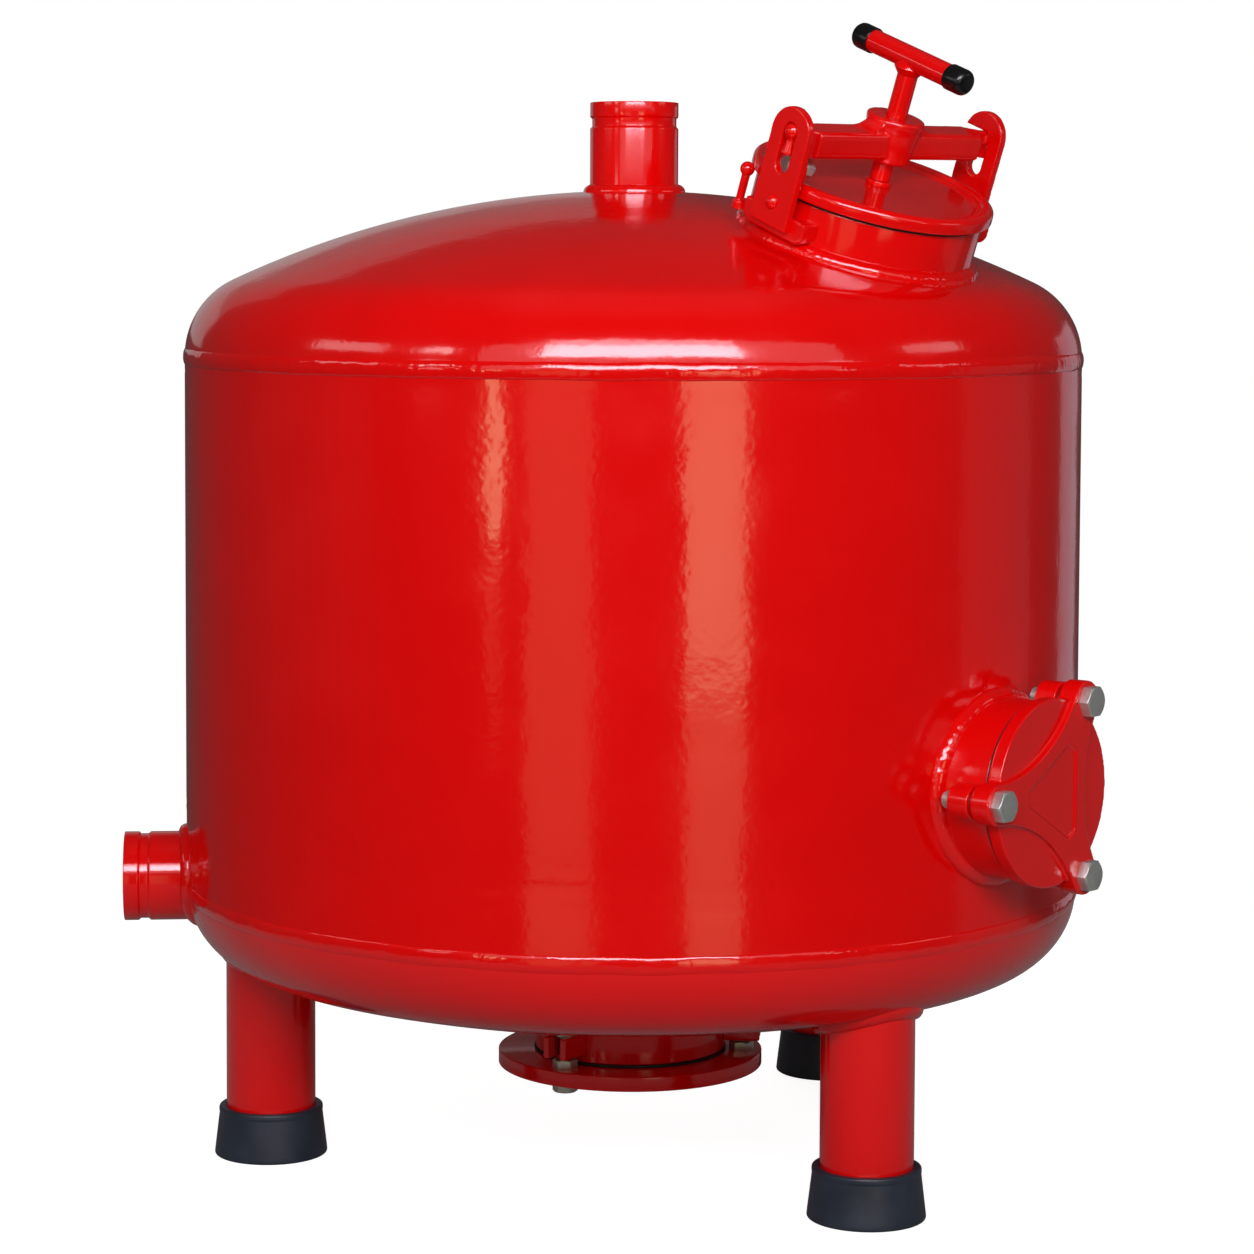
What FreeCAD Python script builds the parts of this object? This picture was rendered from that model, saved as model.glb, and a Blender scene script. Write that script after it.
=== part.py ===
import FreeCAD, Part
import math
import os
import Sketcher

# Pressure vessel of a sand and gravel media filter, in millimetres.
# The origin is on the tank's axis at floor level, +Z is up, and -Y faces the front.

os.makedirs("parts", exist_ok=True)
doc = FreeCAD.newDocument("media_filter")
sheet = doc.addObject("Spreadsheet::Sheet", "Sizes")
Vector = FreeCAD.Vector
Rotation = FreeCAD.Rotation
Placement = FreeCAD.Placement
AXIS_X = Vector(1, 0, 0)
AXIS_Y = Vector(0, 1, 0)
AXIS_Z = Vector(0, 0, 1)


class Size:
    """A number that keeps the sheet expression it came from."""

    def __init__(self, value, text):
        self.value = float(value)
        self.text = text

    def join(self, other, sign, value, swap=False):
        left, right = self.text, text_of(other)
        if swap:
            left, right = right, left
        return Size(value, "(" + left + " " + sign + " " + right + ")")

    def __add__(self, other):
        return self.join(other, "+", self.value + float(other))

    def __radd__(self, other):
        return self.join(other, "+", float(other) + self.value, True)

    def __sub__(self, other):
        return self.join(other, "-", self.value - float(other))

    def __rsub__(self, other):
        return self.join(other, "-", float(other) - self.value, True)

    def __mul__(self, other):
        return self.join(other, "*", self.value * float(other))

    def __rmul__(self, other):
        return self.join(other, "*", float(other) * self.value, True)

    def __truediv__(self, other):
        return self.join(other, "/", self.value / float(other))

    def __neg__(self):
        return Size(-self.value, "(-1 * " + self.text + ")")

    def __float__(self):
        return self.value


def text_of(item):
    return item.text if isinstance(item, Size) else repr(float(item))


def root(item):
    return Size(math.sqrt(float(item)), "sqrt(" + text_of(item) + ")")


def cosine(item):
    return Size(math.cos(math.radians(float(item))), "cos(" + text_of(item) + ")")


def sine(item):
    return Size(math.sin(math.radians(float(item))), "sin(" + text_of(item) + ")")


SHEET_ROWS = [0]


def size(alias, value, note):
    """Write one driving dimension into the sheet and hand it back."""
    SHEET_ROWS[0] += 1
    row = str(SHEET_ROWS[0])
    sheet.set("A" + row, note)
    sheet.set("B" + row, repr(float(value)))
    sheet.setAlias("B" + row, alias)
    return Size(value, "Sizes." + alias)


# Vessel
tank_radius = size("tank_radius", 450, "outer radius of the shell")
plate = size("plate", 5, "plate thickness of shell and heads")
lower_seam = size("lower_seam", 270, "height of the lower seam above the floor")
upper_seam = size("upper_seam", 800, "height of the upper seam above the floor")
top_crown = size("top_crown", 938, "outer crown radius of the top head")
top_knuckle = size("top_knuckle", 84.5, "outer knuckle radius of the top head")
bottom_crown = size("bottom_crown", 1451, "outer crown radius of the bottom head")
bottom_knuckle = size("bottom_knuckle", 78.3, "outer knuckle radius of the bottom head")
seam_half = size("seam_half", 8, "half height of a seam bead")
seam_proud = size("seam_proud", 2.2, "how far a seam bead stands proud")
fit_gap = size("fit_gap", 0.1, "gap between welded pieces that are modelled apart")
bead = size("bead", 8, "leg of a fillet weld")

# Grooved pipe of both nozzles
pipe_radius = size("pipe_radius", 44.45, "outer radius of the nozzle pipe")
pipe_wall = size("pipe_wall", 5.5, "wall of the nozzle pipe")
groove_start = size("groove_start", 15.9, "pipe end to coupling groove")
groove_width = size("groove_width", 8.7, "width of the coupling groove")
groove_depth = size("groove_depth", 2, "depth of the coupling groove")
inlet_rise = size("inlet_rise", 88.2795, "crown of the top head to the inlet nozzle's mouth")
inlet_length = size("inlet_length", 115, "length of the inlet pipe")
outlet_azimuth = size("outlet_azimuth", -176, "heading of the outlet nozzle")
outlet_rise = size("outlet_rise", 6, "lower seam to the outlet nozzle's axis")
outlet_stand = size("outlet_stand", 62, "shell to the outlet nozzle's mouth")

# Legs
leg_inset = size("leg_inset", 83, "shell inwards to a leg's axis")
leg_clear = size("leg_clear", 15, "lower seam down to the end of a leg before it is coped")
leg_radius = size("leg_radius", 44.45, "outer radius of a leg")
leg_wall = size("leg_wall", 5.5, "wall of a leg")
leg_front = size("leg_front", -54, "heading of the front leg")
leg_left = size("leg_left", -171, "heading of the left leg")
leg_rear = size("leg_rear", 52, "heading of the rear leg")
boot_base = size("boot_base", 56.5, "radius of a rubber boot at the floor")
boot_top = size("boot_top", 51.2, "radius of a rubber boot at its lip")
boot_height = size("boot_height", 49, "height of a rubber boot")
boot_floor = size("boot_floor", 9, "rubber under the end of a leg")
boot_round = size("boot_round", 2.5, "rounding of a boot's edges")

# Service port on the side
port_gasket = size("port_gasket", 3, "thickness of a port gasket")
service_azimuth = size("service_azimuth", -42, "heading of the service port")
service_rise = size("service_rise", 139, "lower seam to the service port's axis")
service_radius = size("service_radius", 84.15, "outer radius of the service neck")
service_wall = size("service_wall", 5, "wall of the service neck")
service_stand = size("service_stand", 45, "shell to the end of the service neck")
cover_overhang = size("cover_overhang", 3.85, "service cover's disc wider than its neck")
cover_disc = size("cover_disc", 14, "thickness of the service cover's disc")
cover_boss = size("cover_boss", 6, "height of the raised three-armed boss")
cover_hollow = size("cover_hollow", 2, "depth of the hollow in the boss")
hollow_inset = size("hollow_inset", 36.2, "bolt circle inwards to the hollow's sharp corners")
hollow_blunt = size("hollow_blunt", 11, "how much is rounded off the hollow's corners")
service_bolt_out = size("service_bolt_out", 10.05, "service neck out to its bolt circle")
service_ear = size("service_ear", 19, "radius of a cover ear")
service_bolt = size("service_bolt", 8, "radius of a service bolt")
service_head = size("service_head", 27, "service bolt head across its flats")
service_head_high = size("service_head_high", 10.5, "height of a service bolt head")
service_bolt_long = size("service_bolt_long", 60, "service bolt under its head")
service_lug = size("service_lug", 22, "length of a lug on the service neck")
service_lug_gap = size("service_lug_gap", 6, "service cover to neck lug")
service_lug_half = size("service_lug_half", 16, "half width of a lug on the service neck")
bolt_slack = size("bolt_slack", 0.6, "radial slack of a bolt in a clearance hole")

# Drain port below
drain_radius = size("drain_radius", 96.85, "outer radius of the drain neck")
drain_wall = size("drain_wall", 5, "wall of the drain neck")
drain_drop = size("drain_drop", 47.1534, "bottom head down to the drain neck's rim")
drain_length = size("drain_length", 60, "length of the drain neck")
drain_cover_edge = size("drain_cover_edge", 20.5, "drain bolt circle to the cover's edge")
drain_cover_thick = size("drain_cover_thick", 15, "thickness of the drain cover")
drain_bolt_out = size("drain_bolt_out", 17.15, "drain neck out to its bolt circle")
drain_turn = size("drain_turn", -6, "heading of the first drain bolt")
drain_bolt = size("drain_bolt", 6, "radius of a drain bolt")
drain_nut = size("drain_nut", 22, "drain nut and head across the flats")
drain_nut_high = size("drain_nut_high", 9, "height of a drain nut or head")
drain_lug_high = size("drain_lug_high", 22, "height of a drain lug")
drain_lug_half = size("drain_lug_half", 13.5, "half width of a drain lug")
drain_lug_reach = size("drain_lug_reach", 19, "bolt axis to the end of a drain lug")
drain_slack = size("drain_slack", 0.8, "slack of a drain bolt in its lug's slot")
drain_bolt_end = size("drain_bolt_end", 2, "drain bolt past its upper nut")

# Fill port, in its own frame: local Z along the neck, local X along the yoke
fill_azimuth = size("fill_azimuth", -45, "heading of the fill port")
fill_inset = size("fill_inset", 141, "shell inwards to the centre of the fill rim")
fill_rise = size("fill_rise", 45.6368, "top head straight up to the centre of the fill rim")
fill_lean = size("fill_lean", -51, "heading towards which the fill neck leans")
fill_tilt = size("fill_tilt", 20.8, "lean of the fill neck from upright")
fill_turn = size("fill_turn", 2, "turn of the yoke about the neck, from level")
fill_radius = size("fill_radius", 109.55, "outer radius of the fill neck")
fill_wall = size("fill_wall", 6, "wall of the fill neck")
fill_length = size("fill_length", 78, "length of the fill neck")
clamp_shift = size("clamp_shift", 6, "clamp's axis off the neck's axis, along the yoke")
lid_gasket = size("lid_gasket", 3, "thickness of the lid gasket")
gasket_overhang = size("gasket_overhang", 1.5, "gasket wider than the neck's wall each way")
lid_overhang = size("lid_overhang", 7.45, "lid wider than its neck")
lid_plate = size("lid_plate", 5, "plate thickness of the lid")
lid_roll = size("lid_roll", 6.5, "radius of the lid's rolled rim")
lid_crest = size("lid_crest", 14, "gasket to the top of the lid's rim")
lid_land = size("lid_land", 11, "gasket to the lid's land")
lid_floor = size("lid_floor", 8.3, "gasket to the lid's sunk middle")
lid_border = size("lid_border", 16, "width of the lid's border round its sunk middle")
lid_slope = size("lid_slope", 4, "width of the slope down to the sunk middle")
lug_inset = size("lug_inset", 18, "lid's edge inwards to the middle of its lug")
lug_azimuth = size("lug_azimuth", -19, "turn of the lug's bolt from the yoke")
lug_side = size("lug_side", 8, "lug's middle behind the yoke")
lug_thick = size("lug_thick", 12, "thickness of the lid's lug")
lug_half = size("lug_half", 9.5, "half width of the lid's lug")
lug_high = size("lug_high", 24.5, "fill rim to the bolt in the lid's lug")
lug_bolt = size("lug_bolt", 5, "radius of the lug's bolt")
lug_nut = size("lug_nut", 16, "lug bolt's head and nut across the flats")
lug_nut_high = size("lug_nut_high", 8, "height of the lug bolt's head and nut")
lug_bolt_end = size("lug_bolt_end", 3, "lug bolt past its nut")

# Clamp screw, pad and handle
pad_radius = size("pad_radius", 12.5, "radius of the thrust pad")
pad_height = size("pad_height", 5, "height of the thrust pad")
screw_radius = size("screw_radius", 10, "radius of the clamp screw")
tip_radius = size("tip_radius", 6, "radius of the screw's tip in the pad")
tip_length = size("tip_length", 3, "length of the screw's tip")
running_gap = size("running_gap", 0.06, "radial clearance of a running fit")
end_gap = size("end_gap", 0.15, "end clearance of a running fit")
handle_height = size("handle_height", 135.5, "fill rim to the handle tube's axis")
handle_radius = size("handle_radius", 11, "radius of the handle tube")
handle_wall = size("handle_wall", 2.5, "wall of the handle tube")
handle_half = size("handle_half", 74, "half length of the handle over its caps")
handle_bead = size("handle_bead", 5, "weld between screw and handle")
cap_length = size("cap_length", 22, "length of a handle cap's sleeve")
cap_wall = size("cap_wall", 1.4, "wall of a handle cap")
cap_dome = size("cap_dome", 3, "thickness of a handle cap's end")

# Yoke, and the ears that hold it
yoke_low = size("yoke_low", 40, "fill rim to the underside of the yoke bar")
yoke_depth = size("yoke_depth", 26, "height of the yoke bar")
yoke_half = size("yoke_half", 17, "half width of the yoke bar")
yoke_round = size("yoke_round", 5, "rounding of the yoke bar's edges")
yoke_short = size("yoke_short", 17, "end of the yoke's full bar to an ear")
yoke_taper = size("yoke_taper", 14, "length of the bar's taper to its tongue")
tongue_half = size("tongue_half", 4, "half thickness of the yoke's tongues")
hub_foot = size("hub_foot", 22.5, "radius of the yoke's hub at its foot")
hub_radius = size("hub_radius", 26, "radius of the yoke's hub where the bar meets it")
hub_low = size("hub_low", 36, "fill rim to the underside of the hub")
hub_collar = size("hub_collar", 28, "radius of the collar on the hub")
hub_collar_high = size("hub_collar_high", 5, "height of the hub's collar")
hub_top = size("hub_top", 79, "fill rim to the top of the hub's collar")
hub_chamfer = size("hub_chamfer", 1.5, "chamfer of the hub's collar")
flare_reach = size("flare_reach", 50, "screw axis to the end of the hub's flare")
flare_round = size("flare_round", 30, "radius of the hub's flare")
ball_radius = size("ball_radius", 8, "radius of the balls on the yoke's ends")
ball_high = size("ball_high", 62, "fill rim to the left ball's centre")
ball_drop = size("ball_drop", 4, "right ball lower than the left, level with the bar")
stem_foot = size("stem_foot", 7.5, "radius of a ball's stem at its foot")
stem_neck = size("stem_neck", 3.4, "radius of a ball's stem under the ball")
stem_high = size("stem_high", 15, "height of a ball's stem")
ear_gap = size("ear_gap", 4, "lid's edge to the left ear")
ear_thick = size("ear_thick", 8, "thickness of an ear")
ear_half = size("ear_half", 24.5, "half width of an ear")
ear_top = size("ear_top", 85, "fill rim to the top of an ear")
ear_foot = size("ear_foot", 29, "fill rim down to the foot of an ear")
slot_half = size("slot_half", 8.5, "half width of an ear's slot")
slot_low = size("slot_low", 22, "fill rim to the lower end of the slot")
slot_rise = size("slot_rise", 0.1, "gap between a ball and the top of its slot")
slot_under = size("slot_under", 2.5, "hook's mouth below the tongue")
ear_pad_half = size("ear_pad_half", 41, "half width of an ear's base on the neck")
ear_pad_low = size("ear_pad_low", 37, "fill rim down to the foot of an ear's base")
ear_pad_top = size("ear_pad_top", 15, "fill rim down to the top of an ear's base")
ear_tab = size("ear_tab", 4, "thickness of the base's tab behind the ear")
ear_tab_half = size("ear_tab_half", 14, "half width of the base's tab")
ear_tab_top = size("ear_tab_top", 1, "fill rim to the top of the base's tab")
ear_pad_round = size("ear_pad_round", 11, "rounding of the base's lower corners")
ear_bolt = size("ear_bolt", 4, "radius of an ear bolt")
ear_bolt_low = size("ear_bolt_low", 6.5, "fill rim down to an ear bolt")
ear_bolt_head = size("ear_bolt_head", 7.5, "radius of an ear bolt's round head")
ear_bolt_rise = size("ear_bolt_rise", 5.5, "height of an ear bolt's round head")
ear_bolt_long = size("ear_bolt_long", 18.5, "length of an ear bolt under its head")
ear_nut = size("ear_nut", 13, "ear bolt's nut across the flats")
ear_nut_high = size("ear_nut_high", 5, "height of an ear bolt's nut")
post_azimuth = size("post_azimuth", 153.0272, "turn of the tether post from the yoke")
post_gap = size("post_gap", 1.6702, "lid's edge to the ball on the tether post")
post_radius = size("post_radius", 4, "radius of the tether post")
post_ball = size("post_ball", 7, "radius of the ball on the tether post")
post_top = size("post_top", 5, "fill rim to the centre of the post's ball")
post_foot = size("post_foot", 34, "fill rim down to the foot of the post")
post_plate = size("post_plate", 8, "thickness of the post's foot plate")

# Inside
floor_rise = size("floor_rise", 47, "lower seam to the underdrain plate's underside")
floor_plate = size("floor_plate", 8, "thickness of the underdrain plate")
ledge_width = size("ledge_width", 18, "width of the ledge under the plate")
ledge_height = size("ledge_height", 12, "height of the ledge under the plate")
strainer_pitch = size("strainer_pitch", 175, "spacing of the strainers")
strainer_radius = size("strainer_radius", 24, "radius of a strainer's cap")
strainer_high = size("strainer_high", 26, "height of a strainer's cap")
strainer_stem = size("strainer_stem", 9, "radius of a strainer's stem")
strainer_tail = size("strainer_tail", 40, "strainer stem below the plate")
diffuser_radius = size("diffuser_radius", 85, "radius of the inlet diffuser")
diffuser_drop = size("diffuser_drop", 60, "inlet pipe's end to the diffuser")
diffuser_plate = size("diffuser_plate", 5, "thickness of the diffuser")
diffuser_rod = size("diffuser_rod", 5, "radius of a diffuser rod")
diffuser_lap = size("diffuser_lap", 14, "diffuser rod along the inlet pipe")

doc.recompute()

NODES = []
USED = {}


def named(kind, name):
    """Add an object with a readable name of its own."""
    USED[name] = USED.get(name, 0) + 1
    suffix = "" if USED[name] == 1 else "_" + str(USED[name])
    return doc.addObject(kind, name + suffix)


def bind(item, **values):
    for prop, value in values.items():
        if isinstance(value, Size):
            setattr(item, prop, value.value)
            item.setExpression(prop, value.text)
        else:
            setattr(item, prop, value)


def at(item, x=0, y=0, z=0, turn=None):
    """Place an object; sizes in its place stay bound to the sheet."""
    item.Placement = Placement(Vector(float(x), float(y), float(z)), turn or Rotation())
    for letter, value in (("x", x), ("y", y), ("z", z)):
        if isinstance(value, Size):
            item.setExpression("Placement.Base." + letter, value.text)
    return item


def cylinder(name, radius, height, x=0, y=0, z=0, turn=None):
    item = named("Part::Cylinder", name)
    bind(item, Radius=radius, Height=height)
    return at(item, x, y, z, turn)


def sphere(name, radius, x=0, y=0, z=0):
    item = named("Part::Sphere", name)
    bind(item, Radius=radius)
    return at(item, x, y, z)


def box(name, length, width, height, x=0, y=0, z=0, turn=None):
    item = named("Part::Box", name)
    bind(item, Length=length, Width=width, Height=height)
    return at(item, x, y, z, turn)


def prism(name, corner, height, x=0, y=0, z=0, turn=None, sides=6):
    """A prism with its corners at the given radius, the first on local X."""
    item = named("Part::Prism", name)
    item.Polygon = sides
    bind(item, Circumradius=corner, Height=height)
    return at(item, x, y, z, turn)


def hexagon(name, flats, height, x=0, y=0, z=0, turn=None):
    return prism(name, flats / root(3), height, x, y, z, turn)


def fuse(name, *shapes):
    item = named("Part::MultiFuse", name)
    item.Shapes = list(shapes)
    item.Refine = True
    return item


def common(name, *shapes):
    item = named("Part::MultiCommon", name)
    item.Shapes = list(shapes)
    return item


def cut(name, base, *tools):
    item = named("Part::Cut", name)
    item.Base = base
    item.Tool = tools[0] if len(tools) == 1 else fuse(name + "_tools", *tools)
    return item


def group(name, *shapes):
    """Several separate solids in one sub-part."""
    item = named("Part::Compound", name)
    item.Links = list(shapes)
    return item


def turned(name, *corners):
    """Revolve a closed profile of (radius, height) corners about local Z.

    A corner (radius, height, arc radius, side) is reached by an arc, which bulges to
    the left of its path for side +1 and to the right for side -1.
    """
    sketch = named("Sketcher::SketchObject", name + "_profile")
    sketch.Placement = Placement(Vector(), Rotation(AXIS_X, 90))
    count = len(corners)
    edges = []
    for index in range(count):
        near, far = corners[index], corners[(index + 1) % count]
        first = Vector(float(near[0]), float(near[1]), 0)
        last = Vector(float(far[0]), float(far[1]), 0)
        if len(far) == 2:
            edges.append(sketch.addGeometry(Part.LineSegment(first, last), False))
            continue
        chord = last - first
        rise = math.sqrt(max(float(far[2]) ** 2 - (chord.Length / 2) ** 2, 0))
        across = Vector(-chord.y, chord.x, 0).normalize()
        centre = (first + last) * 0.5 - across * rise * far[3]
        middle = centre + across * float(far[2]) * far[3]
        edges.append(sketch.addGeometry(Part.Arc(first, middle, last), False))
    ends = []
    for index in range(count):
        near, far = corners[index], corners[(index + 1) % count]
        ends.append((arc_end(sketch, edges[index], near), arc_end(sketch, edges[index], far)))
    for index in range(count):
        far = corners[(index + 1) % count]
        follower = (index + 1) % count
        sketch.addConstraint(Sketcher.Constraint("Coincident", edges[index], ends[index][1],
                                                 edges[follower], ends[follower][0]))
        for kind, value in (("DistanceX", far[0]), ("DistanceY", far[1])):
            place = sketch.addConstraint(Sketcher.Constraint(
                kind, -1, 1, edges[index], ends[index][1], float(value)))
            if isinstance(value, Size):
                sketch.setExpression("Constraints[" + str(place) + "]", value.text)
        if len(far) == 4:
            place = sketch.addConstraint(Sketcher.Constraint("Radius", edges[index],
                                                             float(far[2])))
            if isinstance(far[2], Size):
                sketch.setExpression("Constraints[" + str(place) + "]", far[2].text)
    item = named("Part::Revolution", name)
    item.Source = sketch
    item.Base = Vector()
    item.Axis = AXIS_Z
    item.Angle = 360
    item.Solid = True
    return item


def arc_end(sketch, edge, corner):
    """Which end of a sketch edge lies at a corner: 1 for its start, 2 for its end."""
    target = Vector(float(corner[0]), float(corner[1]), 0)
    first = sketch.getPoint(edge, 1)
    last = sketch.getPoint(edge, 2)
    return 1 if (first - target).Length < (last - target).Length else 2


# Dished heads

class Head:
    """A dished head: a crown and a knuckle. side is +1 for the top and -1 for the bottom."""

    def __init__(self, crown, knuckle, seam, side):
        self.crown, self.knuckle, self.seam, self.side = crown, knuckle, seam, side
        self.lean = (tank_radius - knuckle) / (crown - knuckle)
        self.fall = root(1 - self.lean * self.lean)
        self.middle = seam - side * ((crown - knuckle) * self.fall)

    def height_at(self, radius, inset=0):
        """Height of the crown's surface, moved inwards by inset, at a radius."""
        crown = self.crown - inset
        return self.middle + self.side * root(crown * crown - radius * radius)

    def solid(self, name, inset):
        """The solid inside the head's surface, moved inwards by inset."""
        crown, knuckle = self.crown - inset, self.knuckle - inset
        return turned(name, (0, self.seam), (tank_radius - inset, self.seam),
                      (crown * self.lean, self.middle + self.side * (crown * self.fall),
                       knuckle, -self.side),
                      (0, self.middle + self.side * crown, crown, -self.side))


TOP = Head(top_crown, top_knuckle, upper_seam, 1)
BOTTOM = Head(bottom_crown, bottom_knuckle, lower_seam, -1)

# Places that follow from the tank
fill_reach = tank_radius - fill_inset
fill_height = TOP.height_at(fill_reach) + fill_rise
inlet_top = TOP.middle + top_crown + inlet_rise
outlet_height = lower_seam + outlet_rise
outlet_reach = tank_radius + outlet_stand
service_height = lower_seam + service_rise
service_reach = tank_radius + service_stand
drain_rim = BOTTOM.height_at(drain_radius) - drain_drop
leg_circle = tank_radius - leg_inset
leg_top = lower_seam - leg_clear
floor_height = lower_seam + floor_rise

# Places that follow from the ports
service_pitch = service_radius + service_bolt_out
cover_radius = service_radius + cover_overhang
hollow_reach = service_pitch - hollow_inset
hollow_round = hollow_reach - hollow_blunt
drain_pitch = drain_radius + drain_bolt_out
drain_cover_radius = drain_pitch + drain_cover_edge
lid_radius = fill_radius + lid_overhang
lid_sink = lid_radius - lid_border
lug_middle = lid_radius - lug_inset
ear_inner = lid_radius + clamp_shift + ear_gap
yoke_body = ear_inner - yoke_short
post_reach = lid_radius + post_gap + post_ball
post_x, post_y = post_reach * cosine(post_azimuth), post_reach * sine(post_azimuth)


class Frame:
    """A place in the tank's frame: a point, a heading, a lean and a turn about its own Z."""

    def __init__(self, x, y, z, heading, second, lean, spin=0):
        turn = Rotation(AXIS_Z, float(heading)).multiply(Rotation(second, float(lean)))
        turn = turn.multiply(Rotation(AXIS_Z, float(spin)))
        self.placement = Placement(Vector(float(x), float(y), float(z)), turn)
        axis = "vector(%g; %g; %g)" % (second.x, second.y, second.z)
        self.text = ("placement(vector(" + text_of(x) + "; " + text_of(y) + "; " + text_of(z)
                     + "); rotation(vector(0; 0; 1); " + text_of(heading)
                     + ") * rotation(" + axis + "; " + text_of(lean)
                     + ") * rotation(vector(0; 0; 1); " + text_of(spin) + "))")

    def hold(self, item):
        item.Placement = self.placement
        item.setExpression("Placement", self.text)
        return item


def node(name, item, frame=None):
    """Name a finished sub-part; its label is its file's name."""
    if frame is not None:
        frame.hold(item)
    item.Label = name
    NODES.append(item)
    return item


ACROSS = Rotation(AXIS_Y, 90)
ALONG_Y = Rotation(AXIS_X, -90)
FILL_X, FILL_Y = fill_reach * cosine(fill_azimuth), fill_reach * sine(fill_azimuth)
FILL = Frame(FILL_X, FILL_Y, fill_height, fill_lean + 90, AXIS_X, fill_tilt, fill_turn)
# The clamp stands beside the neck's axis by clamp_shift along the yoke.
LEVEL, CLIMB = clamp_shift * cosine(fill_turn), clamp_shift * sine(fill_turn)
CLAMP = Frame(FILL_X - LEVEL * sine(fill_lean) - CLIMB * cosine(fill_tilt) * cosine(fill_lean),
              FILL_Y + LEVEL * cosine(fill_lean) - CLIMB * cosine(fill_tilt) * sine(fill_lean),
              fill_height + CLIMB * sine(fill_tilt), fill_lean + 90, AXIS_X, fill_tilt,
              fill_turn)
SERVICE = Frame(0, 0, service_height, service_azimuth, AXIS_Y, 90)
OUTLET = Frame(0, 0, outlet_height, outlet_azimuth, AXIS_Y, 90)


def outside_tank(point):
    """Distance from a point to the outside of shell and heads, negative inside."""
    across = math.hypot(point.x, point.y)
    for head in (TOP, BOTTOM):
        rise = head.side * (point.z - float(head.seam))
        if rise <= 0:
            continue
        up = head.side * (point.z - float(head.middle))
        reach = math.hypot(across, up)
        if across <= float(head.lean) * reach:
            return reach - float(head.crown)
        side = across - float(tank_radius - head.knuckle)
        return math.hypot(side, rise) - float(head.knuckle)
    return across - float(tank_radius)


def saddle_weld(name, place, radius, inside, outside, sections=24):
    """Fillet weld round a pipe where it meets the tank, lofted through its sections.

    The curve is where a pipe meets a dished head off its axis, which no primitive
    gives, so each section is found on the tank's surface and the loft is kept as it is.
    inside and outside are local heights on either side of that surface.
    """
    gap, leg = float(fit_gap), float(bead)

    def meet(reach, angle):
        low, high = float(inside), float(outside)
        for _ in range(50):
            middle = (low + high) / 2
            local = Vector(reach * math.cos(angle), reach * math.sin(angle), middle)
            if outside_tank(place.multVec(local)) > gap:
                high = middle
            else:
                low = middle
        return high

    wires = []
    for step in range(sections):
        angle = 2 * math.pi * step / sections
        near = float(radius) + gap
        inner, outer = meet(near, angle), meet(near + leg, angle)
        corners = [(near, inner), (near + leg, outer),
                   (near + 0.6 * leg, 0.4 * inner + 0.6 * outer + 0.58 * leg),
                   (near, inner + leg)]
        points = [place.multVec(Vector(r * math.cos(angle), r * math.sin(angle), z))
                  for r, z in corners]
        wires.append(Part.makePolygon(points + [points[0]]))
    item = named("Part::Feature", name)
    item.Shape = Part.makeLoft(wires, True, False, True)
    return item


def polar(radius, azimuth):
    return radius * cosine(azimuth), radius * sine(azimuth)


def seam_bead(name, head, seam):
    """A proud butt-weld bead round the seam between shell and head."""
    side = head.side
    shrunk = tank_radius - head.knuckle + root((head.knuckle + fit_gap) * (head.knuckle + fit_gap)
                                               - seam_half * seam_half)
    bulge = (seam_half * seam_half + seam_proud * seam_proud) / (2 * seam_proud)
    ring = tank_radius + fit_gap
    return turned(name, (shrunk, seam + side * seam_half, bulge, -side), (ring, seam),
                  (ring, seam - side * seam_half))


# Shell, heads and seams

fill_hole = FILL.hold(group("fill_hole", cylinder("fill_hole_tool", fill_radius + fit_gap, 200,
                                                  z=-180)))
inlet_hole = cylinder("inlet_hole", pipe_radius + fit_gap, 300, z=inlet_top - 300)
drain_hole = cylinder("drain_hole", drain_radius + fit_gap, 200, z=drain_rim)
outlet_hole = OUTLET.hold(group("outlet_hole", cylinder(
    "outlet_hole_tool", pipe_radius + fit_gap, 300, z=tank_radius - 150)))
outlet_clear = OUTLET.hold(group("outlet_clear", cylinder(
    "outlet_clear_tool", pipe_radius + bead + 3 * fit_gap, 300, z=tank_radius - 150)))
service_hole = SERVICE.hold(group("service_hole", cylinder(
    "service_hole_tool", service_radius + fit_gap, 300, z=tank_radius - 150)))

shell_height = upper_seam - lower_seam
shell_outside = cylinder("shell_outside", tank_radius, shell_height, z=lower_seam)
shell_inside = cylinder("shell_inside", tank_radius - plate, shell_height + 2,
                        z=lower_seam - 1)
node("tank_shell", cut("tank_shell", shell_outside, shell_inside, outlet_hole, service_hole))
node("top_head", cut("top_head", TOP.solid("top_outside", 0), TOP.solid("top_inside", plate),
                     fill_hole, inlet_hole))
node("bottom_head", cut("bottom_head", BOTTOM.solid("bottom_outside", 0),
                        BOTTOM.solid("bottom_inside", plate), drain_hole, outlet_hole))
node("top_seam_weld", seam_bead("top_seam_weld", TOP, upper_seam))
node("bottom_seam_weld", cut("bottom_seam_weld", seam_bead("bottom_bead", BOTTOM, lower_seam),
                             outlet_clear))


# Grooved nozzles

def grooved_pipe(name, length, mouth):
    """A pipe whose mouth is at local z = mouth, with a rolled groove near it."""
    bore = pipe_radius - pipe_wall
    rolled = pipe_radius - groove_depth
    slope = groove_depth * 0.5
    near = mouth - groove_start
    far = near - groove_width
    return turned(name, (bore, mouth - length), (pipe_radius, mouth - length),
                  (pipe_radius, far - slope), (rolled, far), (rolled, near),
                  (pipe_radius, near + slope), (pipe_radius, mouth - slope),
                  (pipe_radius - slope, mouth), (bore, mouth))


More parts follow.
